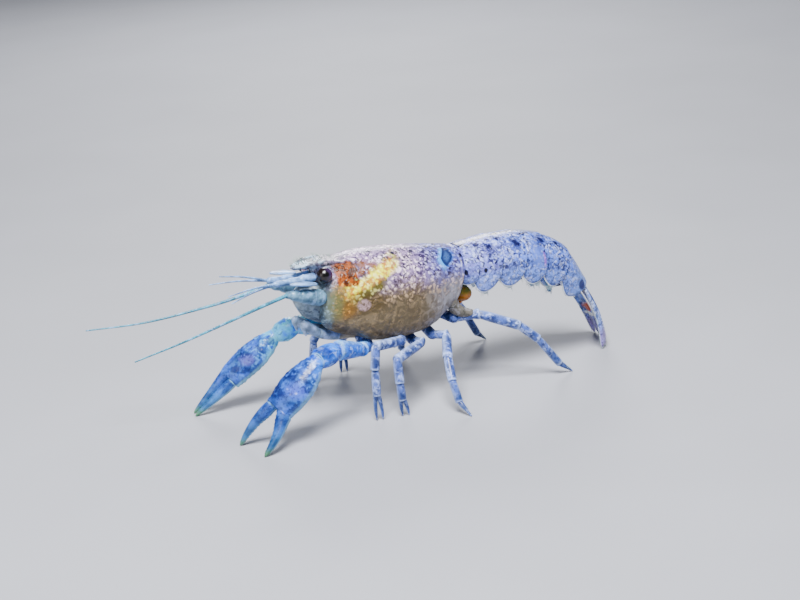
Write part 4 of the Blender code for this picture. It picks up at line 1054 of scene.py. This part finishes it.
def make_shell():
    """Carapace: arches from rim to rim at each station, with the front edge drawn back round each eye."""
    turn = np.linspace(0.0, math.pi, SHELL_ARC)
    share = np.linspace(0, 1, SHELL_ROWS) ** 1.15
    front = SHELL_X[0] + ORBIT_DEPTH * bell(turn - ORBIT_TURN, ORBIT_SPREAD, 4)
    station = front[None] + (SHELL_X[-1] - front)[None] * share[:, None]
    y, z, top, rim_z = shell_section(station, turn[None])
    x = swept(station, z, top, rim_z)
    outer = np.stack([x, y, z], axis=2)
    rim = outer[:, -1]
    inner = []
    for width, height in ((0.8, 0.35), (0.6, 0.8), (0.3, 1.0)):
        inner.append(rim * (1, width, 1) + (0, 0, height * SHELL_RECESS))
    inner = np.stack(inner, axis=1)
    middle = rim[:, None] * (1, 0, 1) + (0, 0, SHELL_RECESS)
    flip = np.array([1.0, -1.0, 1.0])
    rings = np.concatenate([outer, inner, middle, (inner * flip)[:, ::-1], (outer[:, 1:] * flip)[:, ::-1]], axis=1)
    rows = SHELL_ROWS
    pad = np.zeros((rows, 3))
    station = np.concatenate([station, pad - 99, pad[:, :1] - 99, pad - 99, station[:, 1:][:, ::-1]], axis=1)
    angle = np.concatenate([turn, np.full(7, 9.0), turn[1:][::-1]])[None]
    arch = angle < 4
    groove = -GROOVE_DEPTH * bell(station - GROOVE_X, 0.17) * through((0, 2.2, 2.6), (1, 1, 0), angle)
    seam = -0.02 * bell(angle - 0.3, 0.035) * through((-3.4, -3.0, 2.8), (0, 1, 1), station)
    rim = 0.07 * bell(station - 3.12, 0.1) - 0.05 * bell(station - 2.85, 0.1)
    hem = 0.05 * bell(angle - 2.98, 0.08)
    ridge = 0.12 * bell(angle - 0.3, 0.07) * bell(station + 9.9, 0.9)
    brow = 0.06 * bell(share[:, None] - 0.012, 0.02)
    height = (groove + seam + rim + hem + ridge + brow) * arch
    part("carapace", "shell", lofted(pushed(rings, height)), "shell", "shell")


def make_beak():
    """Rostrum: a flat blade whose side margins stand up, drawn to a point, sunk into the carapace behind."""
    x = np.linspace(BEAK_X[0], BEAK_X[-1], 90)
    top, half, depth = (falling(BEAK_X, values, x)[:, None] for values in (BEAK_TOP, BEAK_HALF_WIDTH, BEAK_DEPTH))
    turn = turns(64)[None]
    sine, q = np.sin(turn), np.cos(turn)
    margin = 0.13 * bell(np.abs(q) - 0.86, 0.13) * np.clip((-9.3 - x[:, None]) / 1.2, 0, 1)
    hollow = -0.1 * (1 - q**2) * np.clip((-9.5 - x[:, None]) / 1.5, 0, 1)
    upper = top - 0.22 * depth * (1 - np.abs(sine) ** 0.7) + (margin + hollow) * (half / 1.1)
    lower = top - 0.22 * depth - 0.78 * depth * np.abs(sine) ** 0.9
    z = np.where(sine >= 0, upper, lower)
    tooth = 0.1 * bell(x[:, None] + 12.35, 0.14) * np.abs(q) ** 6
    y = (half + tooth) * q
    rings = np.stack([np.broadcast_to(x[:, None], z.shape), y, z], axis=2)
    piece("rostrum", lofted(rings), "shell", "shell")


def make_eyes():
    """Each eye: a stalk that swells into a pale ring, and a ball of a cornea on it."""
    for side in (LEFT, RIGHT):
        root, centre = mirrored(EYE_ROOT, side), mirrored(EYE_CENTRE, side)
        way = unit(centre - root)
        reach = np.linalg.norm(centre - root)
        turns = np.radians(np.linspace(-28, 88, 30))
        places = reach + EYE_RADIUS * np.sin(turns)
        radii = EYE_RADIUS * np.cos(turns)
        ball = tube(root + np.outer(places, way), radii, 40, (0, 0, 1), directions=np.tile(way, (30, 1)))
        part(f"eye_{SIDES[side]}", "cornea", ball, "eye", "eye")
        places = np.linspace(-0.9, reach - 0.2, 24)
        shares = np.linspace(0, 1, 24)
        radii = STALK_RADIUS + 0.17 * bell(shares - 0.9, 0.12) - 0.1 * shares
        marks = np.clip((shares - 0.65) / 0.2, 0, 1)[:, None]
        stalk = tube(root + np.outer(places, way), radii, 32, (0, 0, 1), marks, np.tile(way, (24, 1)))
        piece(f"eye_{SIDES[side]}_stalk", stalk, "stalk", "breast")


def make_face():
    """Face: upright ellipses from inside the head to between the feelers, with shallow cheek folds."""
    x = np.array(FACE_X)
    path = np.stack([x, np.zeros(5), np.add(FACE_TOP, FACE_BOTTOM) / 2], axis=1)
    depth = np.subtract(FACE_TOP, FACE_BOTTOM) / 2
    rings = refined(rings_along(path, FACE_HALF_WIDTH, depth, (0, 1, 0), 16, np.tile((-1, 0, 0), (5, 1))), 60, 72)
    folds = 0.05 * np.sin(5.0 * rings[..., 0] + 2.2 * rings[..., 2])
    part("face", "plate", lofted(pushed(rings, folds)), "breast", "breast")
    path = np.stack([BREAST_X, np.zeros(7), BREAST_Z], axis=1)
    along = np.tile((1.0, 0.0, 0.0), (7, 1))
    rings = refined(rings_along(path, BREAST_HALF_WIDTH, BREAST_HALF_DEPTH, (0, 1, 0), 16, along), 80, 64)
    ribs = 0.08 * np.sin(2 * math.pi * (rings[..., 0] + 1.9) / 2.0) * (np.abs(rings[..., 1]) / 1.5)
    stubs = [coxa(pair, side, joints[0], joints[1], LEG_RADII[0]) for (pair, side), joints in LEG_JOINTS.items()]
    stubs += [coxa(1, side, CLAW_HIP[side], CLAW_BEND[side], 0.58) for side in (LEFT, RIGHT)]
    piece("breast", lofted(pushed(rings, ribs)), "breast", "breast", "breast_plate")
    piece("hips", together(stubs), "leg", "breast", "breast_plate")


def coxa(pair, side, hip, after, radius):
    """Base of one leg: a short curved barrel from the breast plate to the hip."""
    x = COXA_X[pair]
    root = np.array([x, side * COXA_ROOT_Y, through(BREAST_X, BREAST_Z, x)])
    hip, after = np.asarray(hip, float), np.asarray(after, float)
    end = hip + 0.25 * unit(after - hip)
    path = smooth_path([root, 0.45 * root + 0.55 * hip, hip, end], 16)
    radii = radius * through((0, 0.5, 0.85, 1), (1.15, 1.2, 1.22, 0.95), np.linspace(0, 1, 16))
    return tube(path, radii, 20, (0, 0, 1))


# Limbs


def segment(start, end, radii, shares, across=(0.13, 0.99, 0.05), flat=1.0, bow=(0, 0, 0), rows=26, sides=22):
    """One limb segment: ellipses from joint to joint with radii at shares of its length, its joint ring marked, and its
    two edges marked for painted rim light.
    """
    start, end = np.asarray(start, float), np.asarray(end, float)
    t = np.linspace(0, 1, rows)
    path = start + t[:, None] * (end - start) + np.sin(math.pi * t)[:, None] * np.asarray(bow, float)
    size = through(shares, radii, t)
    rings = rings_along(path, size, size * flat, across, sides)
    marks = 0.8 * bell(t - 0.955, 0.03)
    # Painted rim light: pale marks along the segment's two edges, standing in for the light that shows through the thin
    # shell at its outline.
    edges = 0.6 * np.sin(turns(sides)) ** 6
    return lofted(rings, np.clip(marks[:, None] + edges[None], 0, 1))


def limb_segment(start, end, radius, after, last=False):
    """A segment with a narrow neck inside the joint before it, a swelling, and a lipped far end."""
    start, end = np.asarray(start, float), np.asarray(end, float)
    way = unit(end - start)
    ends = (start - way * 0.12, end + way * (0.0 if last else 0.1))
    if last:
        return segment(*ends, (0.72 * radius, radius, 0.62 * radius, TOE_RADIUS), (0, 0.2, 0.6, 1))
    lip = max(after * 1.12, radius * 1.0)
    return segment(*ends, (0.62 * radius, 0.92 * radius, radius, radius, lip, lip * 0.9), (0, 0.12, 0.4, 0.75, 0.93, 1))


def pincer(wrist, toe):
    """Small pincer: a palm that swells and then two tapering fingers side by side."""
    wrist, toe = np.asarray(wrist, float), np.asarray(toe, float)
    spread = np.asarray(PINCER_SPREAD)
    split = wrist + 0.52 * (toe - wrist)
    palm = segment(wrist - 0.12 * unit(toe - wrist), split + spread * 0.15, (0.24, 0.36, 0.4, 0.36), (0, 0.2, 0.7, 1))
    shapes = [palm]
    for tip, offset in ((toe + (0, 0, TOE_RADIUS), -0.12), (toe + spread + (0, 0, TOE_RADIUS), 0.3)):
        root = split + spread * offset
        bow = spread * (0.12 if offset > 0 else -0.12)
        shapes.append(segment(root - 0.2 * unit(toe - wrist), tip, (0.24, 0.2, 0.15, 0.05), (0, 0.3, 0.7, 1), bow=bow))
    return shapes


def make_legs():
    """Four pairs of walking legs: an upper piece to the knee and a lower piece to the toe."""
    for (pair, side), joints in LEG_JOINTS.items():
        joints = [np.asarray(joint, float) for joint in joints]
        parts = []
        last = len(joints) - 2
        for i in range(last + 1):
            radius = LEG_RADII[i] if len(joints) > 5 else (*LEG_RADII[:3], 0.36)[i]
            after = LEG_RADII[min(i + 1, 4)]
            if i == last and pair in (2, 3):
                parts.append(together(pincer(joints[i], joints[i + 1])))
            else:
                end = joints[i + 1] + (0, 0, TOE_RADIUS if i == last else 0)
                parts.append(limb_segment(joints[i], end, radius, after, i == last))
        for half, chosen in (("upper", parts[:2]), ("lower", parts[2:])):
            part(f"leg_{pair}_{half}_{SIDES[side]}", "shell", together(chosen), "leg", "leg")


def make_claws():
    for side in (LEFT, RIGHT):
        name = SIDES[side]
        joints = (CLAW_HIP, CLAW_BEND, CLAW_ELBOW, CLAW_WRIST)
        hip, bend, elbow, wrist = (np.asarray(joint[side], float) for joint in joints)
        arm = [
            limb_segment(hip, bend, 0.56, 0.62),
            segment(bend - 0.15 * unit(elbow - bend), elbow, (0.5, 0.66, 0.84, 0.92, 0.8), (0, 0.15, 0.6, 0.9, 1), rows=40),
        ]
        part(f"claw_arm_{name}", "shell", together(arm), side, "claw")
        way = unit(wrist - elbow)
        middle = 0.5 * (elbow + wrist)
        carpus = [elbow - way * 0.25, elbow + way * 0.5, middle, wrist - way * 0.45, wrist + way * 0.05]
        rings = refined(rings_along(carpus, WRIST_HALF_WIDTH, WRIST_HALF_DEPTH, (0, 1, 0), 16), WRIST_ROWS, 56)
        height = grains(rings, 26, 0.16, 0.06)
        wrist_shape = lofted(pushed(rings, height), rim_marks(WRIST_ROWS, 0.97, 0.02))
        part(f"claw_wrist_{name}", "shell", wrist_shape, side, "claw")
        make_hand(side, wrist, way)


def rim_marks(rows, centre, spread):
    return bell(np.linspace(0, 1, rows) - centre, spread)[:, None]


def make_hand(side, wrist, wrist_way):
    """Palm with its fixed finger as one loft, and the movable finger hinged at its inner corner."""
    name, scale = SIDES[side], PALM_SCALE[side]
    knuckle = np.asarray(CLAW_KNUCKLE[side], float)
    start = wrist - wrist_way * 0.05
    way = unit(knuckle - start)
    across = np.asarray(PALM_ACROSS[side], float)
    across = unit(across - across.dot(way) * way)
    shares = np.array(PALM_SHARES)[:, None]
    palm = start + shares * (knuckle - start)
    palm_ways = unit(wrist_way + (way - wrist_way) * np.clip(shares * 5, 0, 1))
    fixed, fixed_ways = finger_path(side, knuckle, way, across, FIXED_OFFSET[side], FIXED_TIP[side])
    widths = np.concatenate([PALM_HALF_WIDTH, np.add(FINGER_HALF_WIDTH, FIXED_SWELL[side]), [0.07]]) * scale
    depths = np.concatenate([PALM_HALF_DEPTH, FINGER_HALF_DEPTH, [0.07]]) * scale
    coarse = rings_along(np.vstack([palm, fixed]), widths, depths, across, 20, np.vstack([palm_ways, fixed_ways]))
    rings = refined(coarse, HAND_ROWS, HAND_SIDES)
    t = np.linspace(0, 1, HAND_ROWS)[:, None]
    turn = turns(HAND_SIDES)[None]
    on_palm = np.broadcast_to((t > 0.06) & (t < 0.5), rings.shape[:2])
    height = grains(rings, 110, 0.13, 0.05, on_palm)
    inner = bell(np.cos(turn) + 1, 0.12)
    height += 0.05 * inner * bell(t - 0.3, 0.14) * scallops(t, 0.035)
    height += 0.05 * inner * (t > 0.56) * scallops(t, 0.03) * (t < 0.93)
    # Painted rim light: pale marks along the palm's two edges.
    edge = bell(np.abs(np.cos(turn)) - 1, 0.05) * (t > 0.08)
    marks = np.clip(edge * 0.8 + rim_marks(HAND_ROWS, 0.01, 0.012), 0, 1)
    part(f"claw_hand_{name}", "shell", lofted(pushed(rings, height), marks), side, "claw")
    hinge = knuckle + way * -0.1
    moving, ways = finger_path(side, hinge, way, across, -FINGER_OFFSET[side], FINGER_TIP[side])
    moving[0] -= way * 0.15
    widths = np.append(FINGER_HALF_WIDTH, 0.07) * scale
    depths = np.append(FINGER_HALF_DEPTH, 0.07) * scale
    widths[0] *= 0.85
    depths[0] *= 0.85
    rings = refined(rings_along(moving, widths, depths, across, 16, ways), FINGER_ROWS, FINGER_SIDES)
    t = np.linspace(0, 1, FINGER_ROWS)[:, None]
    turn = turns(FINGER_SIDES)[None]
    bite = bell(np.cos(turn) - 1, 0.12)
    height = 0.05 * bite * (t > 0.15) * (t < 0.85) * scallops(t, 0.06)
    # Painted rim light: pale marks along the finger's two edges.
    edge = bell(np.abs(np.cos(turn)) - 1, 0.05)
    finger = lofted(pushed(rings, height), np.clip(edge * 0.8 + rim_marks(FINGER_ROWS, 0.02, 0.02), 0, 1))
    part(f"claw_finger_{name}", "shell", finger, side, "claw")


def finger_path(side, knuckle, way, across, offset, tip):
    """Centres and directions of a finger that leaves the palm straight and bows outward before its tip."""
    root, tip = knuckle + across * offset, np.asarray(tip, float) + (0, 0, 0.06)
    shares = np.array((*FINGER_SHARES, 1.0))[:, None]
    bow = math.copysign(FINGER_BOW[side], offset)
    path = root + shares * (tip - root) + across * bow * np.sin(math.pi * shares)
    ways = unit(np.gradient(path, axis=0))
    ways[0] = way
    return path, ways


# Feelers and mouthparts


def ringed(path_points, start, end, pitch, rows, sides=12):
    """A lash: a tube along a smooth path that thins to its tip, with a small step at each of its many rings."""
    path = smooth_path(path_points, rows)
    reach = np.linspace(0, np.sum(np.linalg.norm(np.diff(path, axis=0), axis=1)), rows)
    saw = (reach / pitch) % 1.0
    radii = (start + (end - start) * (reach / reach[-1]) ** 0.8) * (0.9 + 0.16 * saw)
    marks = 0.3 * np.clip((saw - 0.6) / 0.2, 0, 1)[:, None]
    return tube(path, radii, sides, marks=marks)


def make_feelers():
    for side in (LEFT, RIGHT):
        name = SIDES[side]
        base = smooth_path(mirrored(FEELER_BASE, side), 90)
        shares = np.linspace(0, 1, 90)
        keys = (0, 0.12, 0.3, 0.34, 0.5, 0.62, 0.66, 0.8, 0.86, 0.9, 1.0)
        sizes = (0.6, 0.74, 0.73, 0.68, 0.66, 0.58, 0.51, 0.5, 0.44, 0.36, 0.3)
        radii = through(keys, sizes, shares)
        marks = 0.6 * sum(bell(shares - place, 0.01) for place in (0.3, 0.62, 0.86))
        shape = tube(base, radii, 40, marks=np.clip(marks, 0, 1)[:, None])
        part(f"antenna_base_{name}", "shell", shape, "stem", "feeler")
        lash = ringed(FEELER[side], 0.19, 0.06, 0.3, 420)
        part(f"antenna_{name}", "lash", lash, "feeler", "feeler")
        make_scale(side)
        base = smooth_path(mirrored(SMALL_FEELER_BASE, side), 60)
        shares = np.linspace(0, 1, 60)
        radii = through((0, 0.3, 0.36, 0.6, 0.66, 0.92, 1), (0.4, 0.38, 0.3, 0.34, 0.27, 0.3, 0.16), shares)
        lashes = [tube(base, radii, 28)]
        for tip in SMALL_FEELER_TIPS[side]:
            root = base[-4]
            bow = 0.5 * (root + np.asarray(tip)) + (0, 0, 0.15)
            lashes.append(ringed([root, bow, tip], 0.14, 0.045, 0.22, 200, 9))
        part(f"antennule_{name}", "shell", together(lashes), "base", "feeler")
        joints = mirrored(MOUTH_LEG, side)
        palp = [
            segment(joints[0] + (0.3, 0, 0), joints[1], (0.42, 0.5, 0.52, 0.46), (0, 0.3, 0.7, 1)),
            segment(joints[1] - (0, 0, 0.05), joints[2], (0.4, 0.48, 0.42, 0.34), (0, 0.3, 0.8, 1)),
            segment(joints[2] + (0.02, 0, 0.1), joints[3], (0.28, 0.32, 0.2, 0.08), (0, 0.3, 0.7, 1)),
        ]
        part(f"maxilliped_{name}", "shell", together(palp), "mouth", "breast")


def make_scale(side):
    """Leaf-shaped scale: flat ellipses, widest a third of the way out, with a thick outer edge."""
    root, tip = mirrored(SCALE_ROOT, side), mirrored(SCALE_TIP, side)
    shares = np.linspace(0, 1, 50)
    path = root + shares[:, None] * (tip - root) + np.outer(np.sin(math.pi * shares), (0, 0, 0.04))
    width = 0.55 * np.sin(math.pi * (0.14 + 0.84 * shares)) ** 0.7
    depth = 0.16 * np.sin(math.pi * (0.1 + 0.85 * shares)) ** 0.5
    rings = rings_along(path, width, depth, (0, side, 0), 48)
    turn = turns(48)[None]
    marks = bell(np.abs(np.cos(turn)) - 1, 0.04)
    leaf = lofted(pushed(rings, 0.05 * bell(np.cos(turn) - 0.85, 0.2)), marks)
    part(f"antenna_scale_{SIDES[side]}", "leaf", leaf, "base", "feeler")


# Tail


def tail_frame(ring, share):
    at = ring + share
    keys = np.arange(7)
    top = np.array([through(keys, TAIL_TOP_X, at), 0.0, through(keys, TAIL_TOP_Z, at)])
    lean = math.radians(through(keys, TAIL_LEAN, at))
    down = np.array([-math.sin(lean), 0.0, -math.cos(lean)])
    rear = np.array([math.cos(lean), 0.0, -math.sin(lean)])
    return top, down, rear, through(keys, TAIL_HALF_WIDTH, at), through(keys, TAIL_BELLY, at)


def tail_ring(ring, share, flare):
    """One ring of a tail segment: back, side lobe that hangs lower in the middle, thin lower edge, and belly."""
    top, down, rear, half_width, belly = tail_frame(ring, share)
    lobe = belly + (TAIL_LOBE[ring] - belly) * math.sin(math.pi * min(max(share, 0.04), 0.96)) ** 0.6
    side_depth = 0.74 * belly
    turn = np.radians(np.linspace(0, 95, 9))
    depth = side_depth * (1 - np.cos(turn)) - flare * np.cos(turn)
    back = np.stack([np.sin(turn) * (half_width + flare), depth], axis=1)
    lower = np.array(
        [
            [half_width + flare + 0.02, side_depth + 0.4 * (lobe - side_depth)],
            [half_width + flare - 0.02, side_depth + 0.75 * (lobe - side_depth)],
            [half_width + flare - 0.16, lobe],
            [half_width - 0.38, lobe - 0.05],
            [half_width - TAIL_WALL, lobe - 0.3],
            [half_width - TAIL_WALL - 0.35, belly - 0.35],
            [0.45 * half_width, belly - 0.1],
        ]
    )
    near = np.vstack([back, lower])
    flip = np.array([-1.0, 1.0])
    section = np.vstack([near, [[0.0, belly]], (near[1:] * flip)[::-1]])
    shift = TAIL_OVERLAP * (share - 0.35)
    sideways = np.outer(section[:, 0], (0, 1, 0))
    return top + rear * shift + sideways + np.outer(section[:, 1], down)


def make_tail():
    """Six tail rings, the clear swimming legs under the middle four, and the rods under the first."""
    around = np.abs(((np.arange(TAIL_SIDES) / TAIL_SIDES + 0.5) % 1.0) - 0.5) * 2
    for ring in range(6):
        rings = refined([tail_ring(ring, s, f) for s, f in zip(TAIL_STATIONS, TAIL_FLARE)], TAIL_ROWS, TAIL_SIDES)
        t = np.linspace(0, 1, TAIL_ROWS)[:, None]
        lip = 0.03 * bell(t - 0.97, 0.02) - 0.05 * bell(t - 0.2, 0.03) * (around < 0.55)
        hem = 0.04 * bell(around - 0.7, 0.02)
        marks = np.clip(bell(around - 0.71, 0.045) + 0.35 * bell(t - 0.98, 0.03), 0, 1)
        part(f"abdomen_{ring + 1}", "plate", lofted(pushed(rings, lip + hem), marks), "tail", "tail")
        if 0 < ring < 5:
            piece(f"swimmers_{ring + 1}", together(swimmers(ring)), "swimmer", "tail")
    rods = []
    for side in (LEFT, RIGHT):
        path = smooth_path(mirrored(ROD_PATH, side), 50)
        radii = through(np.linspace(0, 1, 4), ROD_RADII, np.linspace(0, 1, 50))
        rods.append(tube(path, radii, 28))
    piece("rods", together(rods), "amber", "tail")
    make_folds()


def make_folds():
    """Behind the carapace on each side: a tube of skin down to the last hip, and an amber spindle beside it."""
    folds, swellings = [], []
    axis = unit(SWELLING_AXIS)
    length, width = SWELLING_SIZE
    for side in (LEFT, RIGHT):
        path = smooth_path(mirrored(FOLD_PATH, side), 50)
        radii = through(np.linspace(0, 1, 5), FOLD_RADII, np.linspace(0, 1, 50))
        rings = rings_along(path, radii, radii, (0, 1, 0), 32)
        creases = 0.015 * np.sin(9.0 * rings[..., 2] + 3.0 * rings[..., 0])
        folds.append(lofted(pushed(rings, creases)))
        turn = np.radians(np.linspace(4, 176, 40))
        path = mirrored(SWELLING, side) - length * np.cos(turn)[:, None] * axis
        radii = width * np.sin(turn)
        swellings.append(tube(path, radii, 32, directions=np.tile(axis, (40, 1))))
    piece("skin_folds", together(folds), "skin", "breast")
    piece("amber_swellings", together(swellings), "amber", "breast")


def swimmers(ring):
    """Two pairs of thin flat blades that trail from the belly of a tail ring, each with a fringe of hairs."""
    top, down, rear, *_ = tail_frame(ring, 0.5)
    shapes = []
    depths = np.array(SWIMMER_DEPTHS)
    fall = depths - depths[0]
    for side in (LEFT, RIGHT):
        for number, spread in enumerate((SWIMMER_SPREAD, -0.4 * SWIMMER_SPREAD)):
            y = side * (SWIMMER_Y + spread * (fall / fall[-1]) ** 1.3)
            trail = SWIMMER_TRAIL * fall * (1.0 + 0.5 * number)
            path = top + np.outer(depths, down) + np.outer(trail, rear) + np.outer(y, (0, 1, 0))
            fine = smooth_path(path, 36)
            wide, thin = (through(np.linspace(0, 1, 4), radii, np.linspace(0, 1, 36)) for radii in SWIMMER_RADII)
            shapes.append(lofted(rings_along(fine, wide, thin, rear, 24)))
            roots = np.repeat(fine[14:], 3, axis=0)
            edge = np.repeat(wide[14:], 3)[:, None] * np.where(np.arange(len(roots)) % 2, 1.0, -1.0)[:, None] * 0.9
            ways = down + rear * np.sign(edge) * 0.7 + draw.normal(0, 0.12, (len(roots), 3))
            shapes.append(hairs(roots + edge * rear, ways, draw.uniform(0.25, 0.5, len(roots)), 0.012))
    return shapes


def fan_point(along, turn, lift):
    """A point on the cup of the fan, which turns about its middle line by FAN_TWIST on the way down."""
    root, tip = np.array([FAN_ROOT[0], 0, FAN_ROOT[1]]), np.array([FAN_TIP[0], 0, FAN_TIP[1]])
    way = unit(tip - root)
    outward = np.array([-way[2], 0.0, way[0]])
    across = CUP_ACROSS[0] + (CUP_ACROSS[1] - CUP_ACROSS[0]) * along
    deep = CUP_DEEP[0] + (CUP_DEEP[1] - CUP_DEEP[0]) * along
    y = (across + lift) * np.sin(turn)
    depth = deep * (1 - np.cos(turn)) - lift * np.cos(turn) - FAN_BOW * np.sin(math.pi * along)
    centre = root + along[..., None] * (tip - root)
    twist = math.radians(FAN_TWIST) * along
    y, depth = y * np.cos(twist) + depth * np.sin(twist), depth * np.cos(twist) - y * np.sin(twist)
    return centre + y[..., None] * np.array([0, 1, 0]) - depth[..., None] * outward


def blade(name, turn_root, turn_tip, half_root, half_wide, length, start, lift, suture):
    """A blade of the fan on the cup: a thin plate with a middle rib, a round end and a fringe of hairs."""
    rows, columns = 80, 40
    t = np.linspace(0, 1, rows)[:, None]
    q = np.linspace(-1, 1, columns)[None]
    full = half_root + (half_wide - half_root) * np.clip(t / 0.35, 0, 1) ** 0.7
    round_end = np.sqrt(np.clip(1 - np.clip((t - 0.78) / 0.22, 0, 1) ** 2, 0.02, 1))
    turn = np.radians(turn_root + (turn_tip - turn_root) * t + q * full * round_end)
    along = start + (length - start) * t + 0.0 * q
    body = np.clip(1.0 - np.abs(q) ** 4, 0.12, 1) * np.clip((1.03 - t) / 0.12, 0.3, 1)
    rib = 0.1 * bell(q, 0.14) + 0.05 * bell(np.abs(q) - 0.55, 0.1)
    cut = -0.08 * bell(t - suture, 0.015) if suture else 0.0
    ridge = rib * np.sin(math.pi * np.clip(t, 0.05, 0.95))
    top = fan_point(along, turn, lift + BLADE_THICKNESS / 2 * body + ridge + cut)
    bottom = fan_point(along, turn, lift - BLADE_THICKNESS / 2 * body)
    rings = np.concatenate([top, bottom[:, ::-1]], axis=1)
    rings[..., 2] -= (rings[..., 2].min() - 0.01) * np.clip(t, 0, 1)
    edge = np.clip((np.abs(q) - 0.88) / 0.1, 0, 1) * np.ones((rows, 1))
    edge = np.maximum(edge, np.clip((t - 0.955) / 0.03, 0, 1))
    marks = np.concatenate([edge, edge[:, ::-1]], axis=1)
    part(name, "blade", lofted(rings, marks), "fan", "tail")
    middle = 0.5 * (rings[:, :columns] + rings[:, columns:][:, ::-1])
    chosen = [(i, j) for i in range(40, rows, 2) for j in (0, columns - 1)] + [(rows - 1, j) for j in range(1, 39)]
    picked = np.array(chosen)
    roots = middle[picked[:, 0], picked[:, 1]]
    inner = middle[np.maximum(picked[:, 0] - 14, 0), columns // 2]
    ways = unit(roots - inner) + draw.normal(0, 0.08, roots.shape)
    ways[:, 2] *= np.clip(roots[:, 2] / 0.6, 0, 1)
    lengths = draw.uniform(0.2, 0.42, len(roots))
    roots[:, 2] = np.maximum(roots[:, 2], 0.05)
    ways[:, 2] = np.maximum(unit(ways)[:, 2], (0.02 - roots[:, 2]) / lengths)
    kept = roots[:, 2] > 0.35
    return hairs(roots[kept], ways[kept], lengths[kept], 0.016)


def make_fan():
    fringes = [blade("telson", 0.0, 0.0, 27.0, 25.0, 0.955, -0.03, 0.12, 0.0)]
    for side in (LEFT, RIGHT):
        name = SIDES[side]
        fringes.append(blade(f"uropod_inner_{name}", side * 45, side * 42, 13.0, 16.5, 0.975, 0.0, 0.0, 0.0))
        fringes.append(blade(f"uropod_outer_{name}", side * 74, side * 74, 12.0, 16.0, 0.97, 0.0, 0.1, 0.62))
    piece("fan_hairs", together(fringes), "hair", "tail")


def make_hairs():
    """Short clear hairs: along the rostrum, on the mouth legs and on the legs' last segments."""
    count = 150
    x = draw.uniform(-13.2, -8.6, count)
    q = draw.uniform(-0.9, 0.9, count)
    y = q * falling(BEAK_X, BEAK_HALF_WIDTH, x)
    z = falling(BEAK_X, BEAK_TOP, x) - 0.05
    ways = np.stack([draw.normal(-0.45, 0.2, count), 0.35 * q + draw.normal(0, 0.15, count), np.ones(count)], axis=1)
    lengths = draw.uniform(0.3, 0.7, count) * np.clip((-8.0 - x) / 2.0, 0.4, 1)
    groups = [hairs(np.stack([x, y, z], axis=1), ways, lengths, 0.02, (-0.25, 0, 0))]
    for side in (LEFT, RIGHT):
        joints = mirrored(MOUTH_LEG, side)
        t = draw.uniform(0, 1, (60, 1))
        roots = joints[1] + t * (joints[2] - joints[1]) + (0, 0, -0.25)
        ways = (-0.4, 0.0, -1.0) + draw.normal(0, 0.25, (60, 3))
        groups.append(hairs(roots, ways, draw.uniform(0.3, 0.7, 60), 0.013))
    for joints in LEG_JOINTS.values():
        start, end = np.asarray(joints[-2], float), np.asarray(joints[-1], float)
        t = draw.uniform(0.15, 0.9, (36, 1))
        size = 0.3 * (1 - 0.6 * t)
        out = unit(np.cross(end - start, draw.normal(0, 1, (36, 3))))
        roots = start + t * (end - start) + (0, 0, 0.05) + out * size * 0.8
        ways = out + unit(end - start) * 0.9
        ways[:, 2] = np.where(roots[:, 2] < 0.5, np.abs(ways[:, 2]), ways[:, 2])
        groups.append(hairs(roots, ways, draw.uniform(0.12, 0.28, 36), 0.01))
    piece("short_hairs", together(groups), "hair", "shell")


# Floor, light and camera


def make_stage():
    """Plain flat pale floor, three soft lamps and a pale sky."""
    mesh = bpy.data.meshes.new("floor")
    corners = [(x * FLOOR_REACH, y * FLOOR_REACH, 0) for x, y in ((-1, -1), (1, -1), (1, 1), (-1, 1))]
    mesh.from_pydata(corners, [], [(0, 1, 2, 3)])
    floor = bpy.data.objects.new("floor", mesh)
    bpy.context.scene.collection.objects.link(floor)
    f = Finish("floor", 3.0)
    pale = f.mix((204, 205, 208), (208, 209, 212), f.noise(0.05, 2.0))
    mesh.materials.append(f.finished(pale, 0.7, f.noise(3.0, 2.0), 0.01))
    world = bpy.data.worlds.new("sky")
    world.use_nodes = True
    sky = world.node_tree.nodes["Background"].inputs
    sky[0].default_value = SKY_COLOUR
    sky[1].default_value = SKY_POWER * LAMPS
    bpy.context.scene.world = world
    for name, (place, size, power) in LAMP_SETS.items():
        light = bpy.data.lights.new(name, "AREA")
        light.energy = power * LAMPS
        light.size = size
        item = bpy.data.objects.new(name, light)
        bpy.context.scene.collection.objects.link(item)
        aim_at(item, -unit(np.subtract(LAMP_AIM, place)), (0.0, 0.0, 1.0), place)


def aim_at(item, back, above, place):
    """Turns an item so that its own Z axis is back, as a lamp or a camera looks along its own -Z."""
    right = unit(np.cross(above, back))
    up = np.cross(back, right)
    item.matrix_world = [(*right, 0.0), (*up, 0.0), (*back, 0.0), (*place, 1.0)]


def make_camera():
    """The photograph's view: 27 degrees round to the front left, 18 degrees up, rolled by 4 degrees."""
    turn, rise, roll = np.radians([VIEW_TURN, VIEW_RISE, VIEW_ROLL])
    back = np.array([math.sin(turn) * math.cos(rise), -math.cos(turn) * math.cos(rise), math.sin(rise)])
    level = np.array([math.cos(turn), math.sin(turn), 0.0])
    over = np.cross(back, level)
    right = level * math.cos(roll) - over * math.sin(roll)
    up = level * math.sin(roll) + over * math.cos(roll)
    aside, below = ORIGIN_PIXEL[0] - PICTURE[0] / 2, PICTURE[1] / 2 - ORIGIN_PIXEL[1]
    place = back * VIEW_DISTANCE - right * aside / PIXELS_PER_MM - up * below / PIXELS_PER_MM
    data = bpy.data.cameras.new("camera")
    data.sensor_width = FILM
    data.lens = PIXELS_PER_MM * VIEW_DISTANCE * FILM / PICTURE[0]
    data.clip_start = 0.01
    item = bpy.data.objects.new("camera", data)
    bpy.context.scene.collection.objects.link(item)
    aim_at(item, back, up, place * MM + SHIFT)
    bpy.context.scene.camera = item


make_camera()
make_shell()
make_beak()
make_eyes()
make_face()
make_legs()
make_claws()
make_feelers()
make_tail()
make_fan()
make_hairs()
make_stage()

bpy.context.view_layer.update()
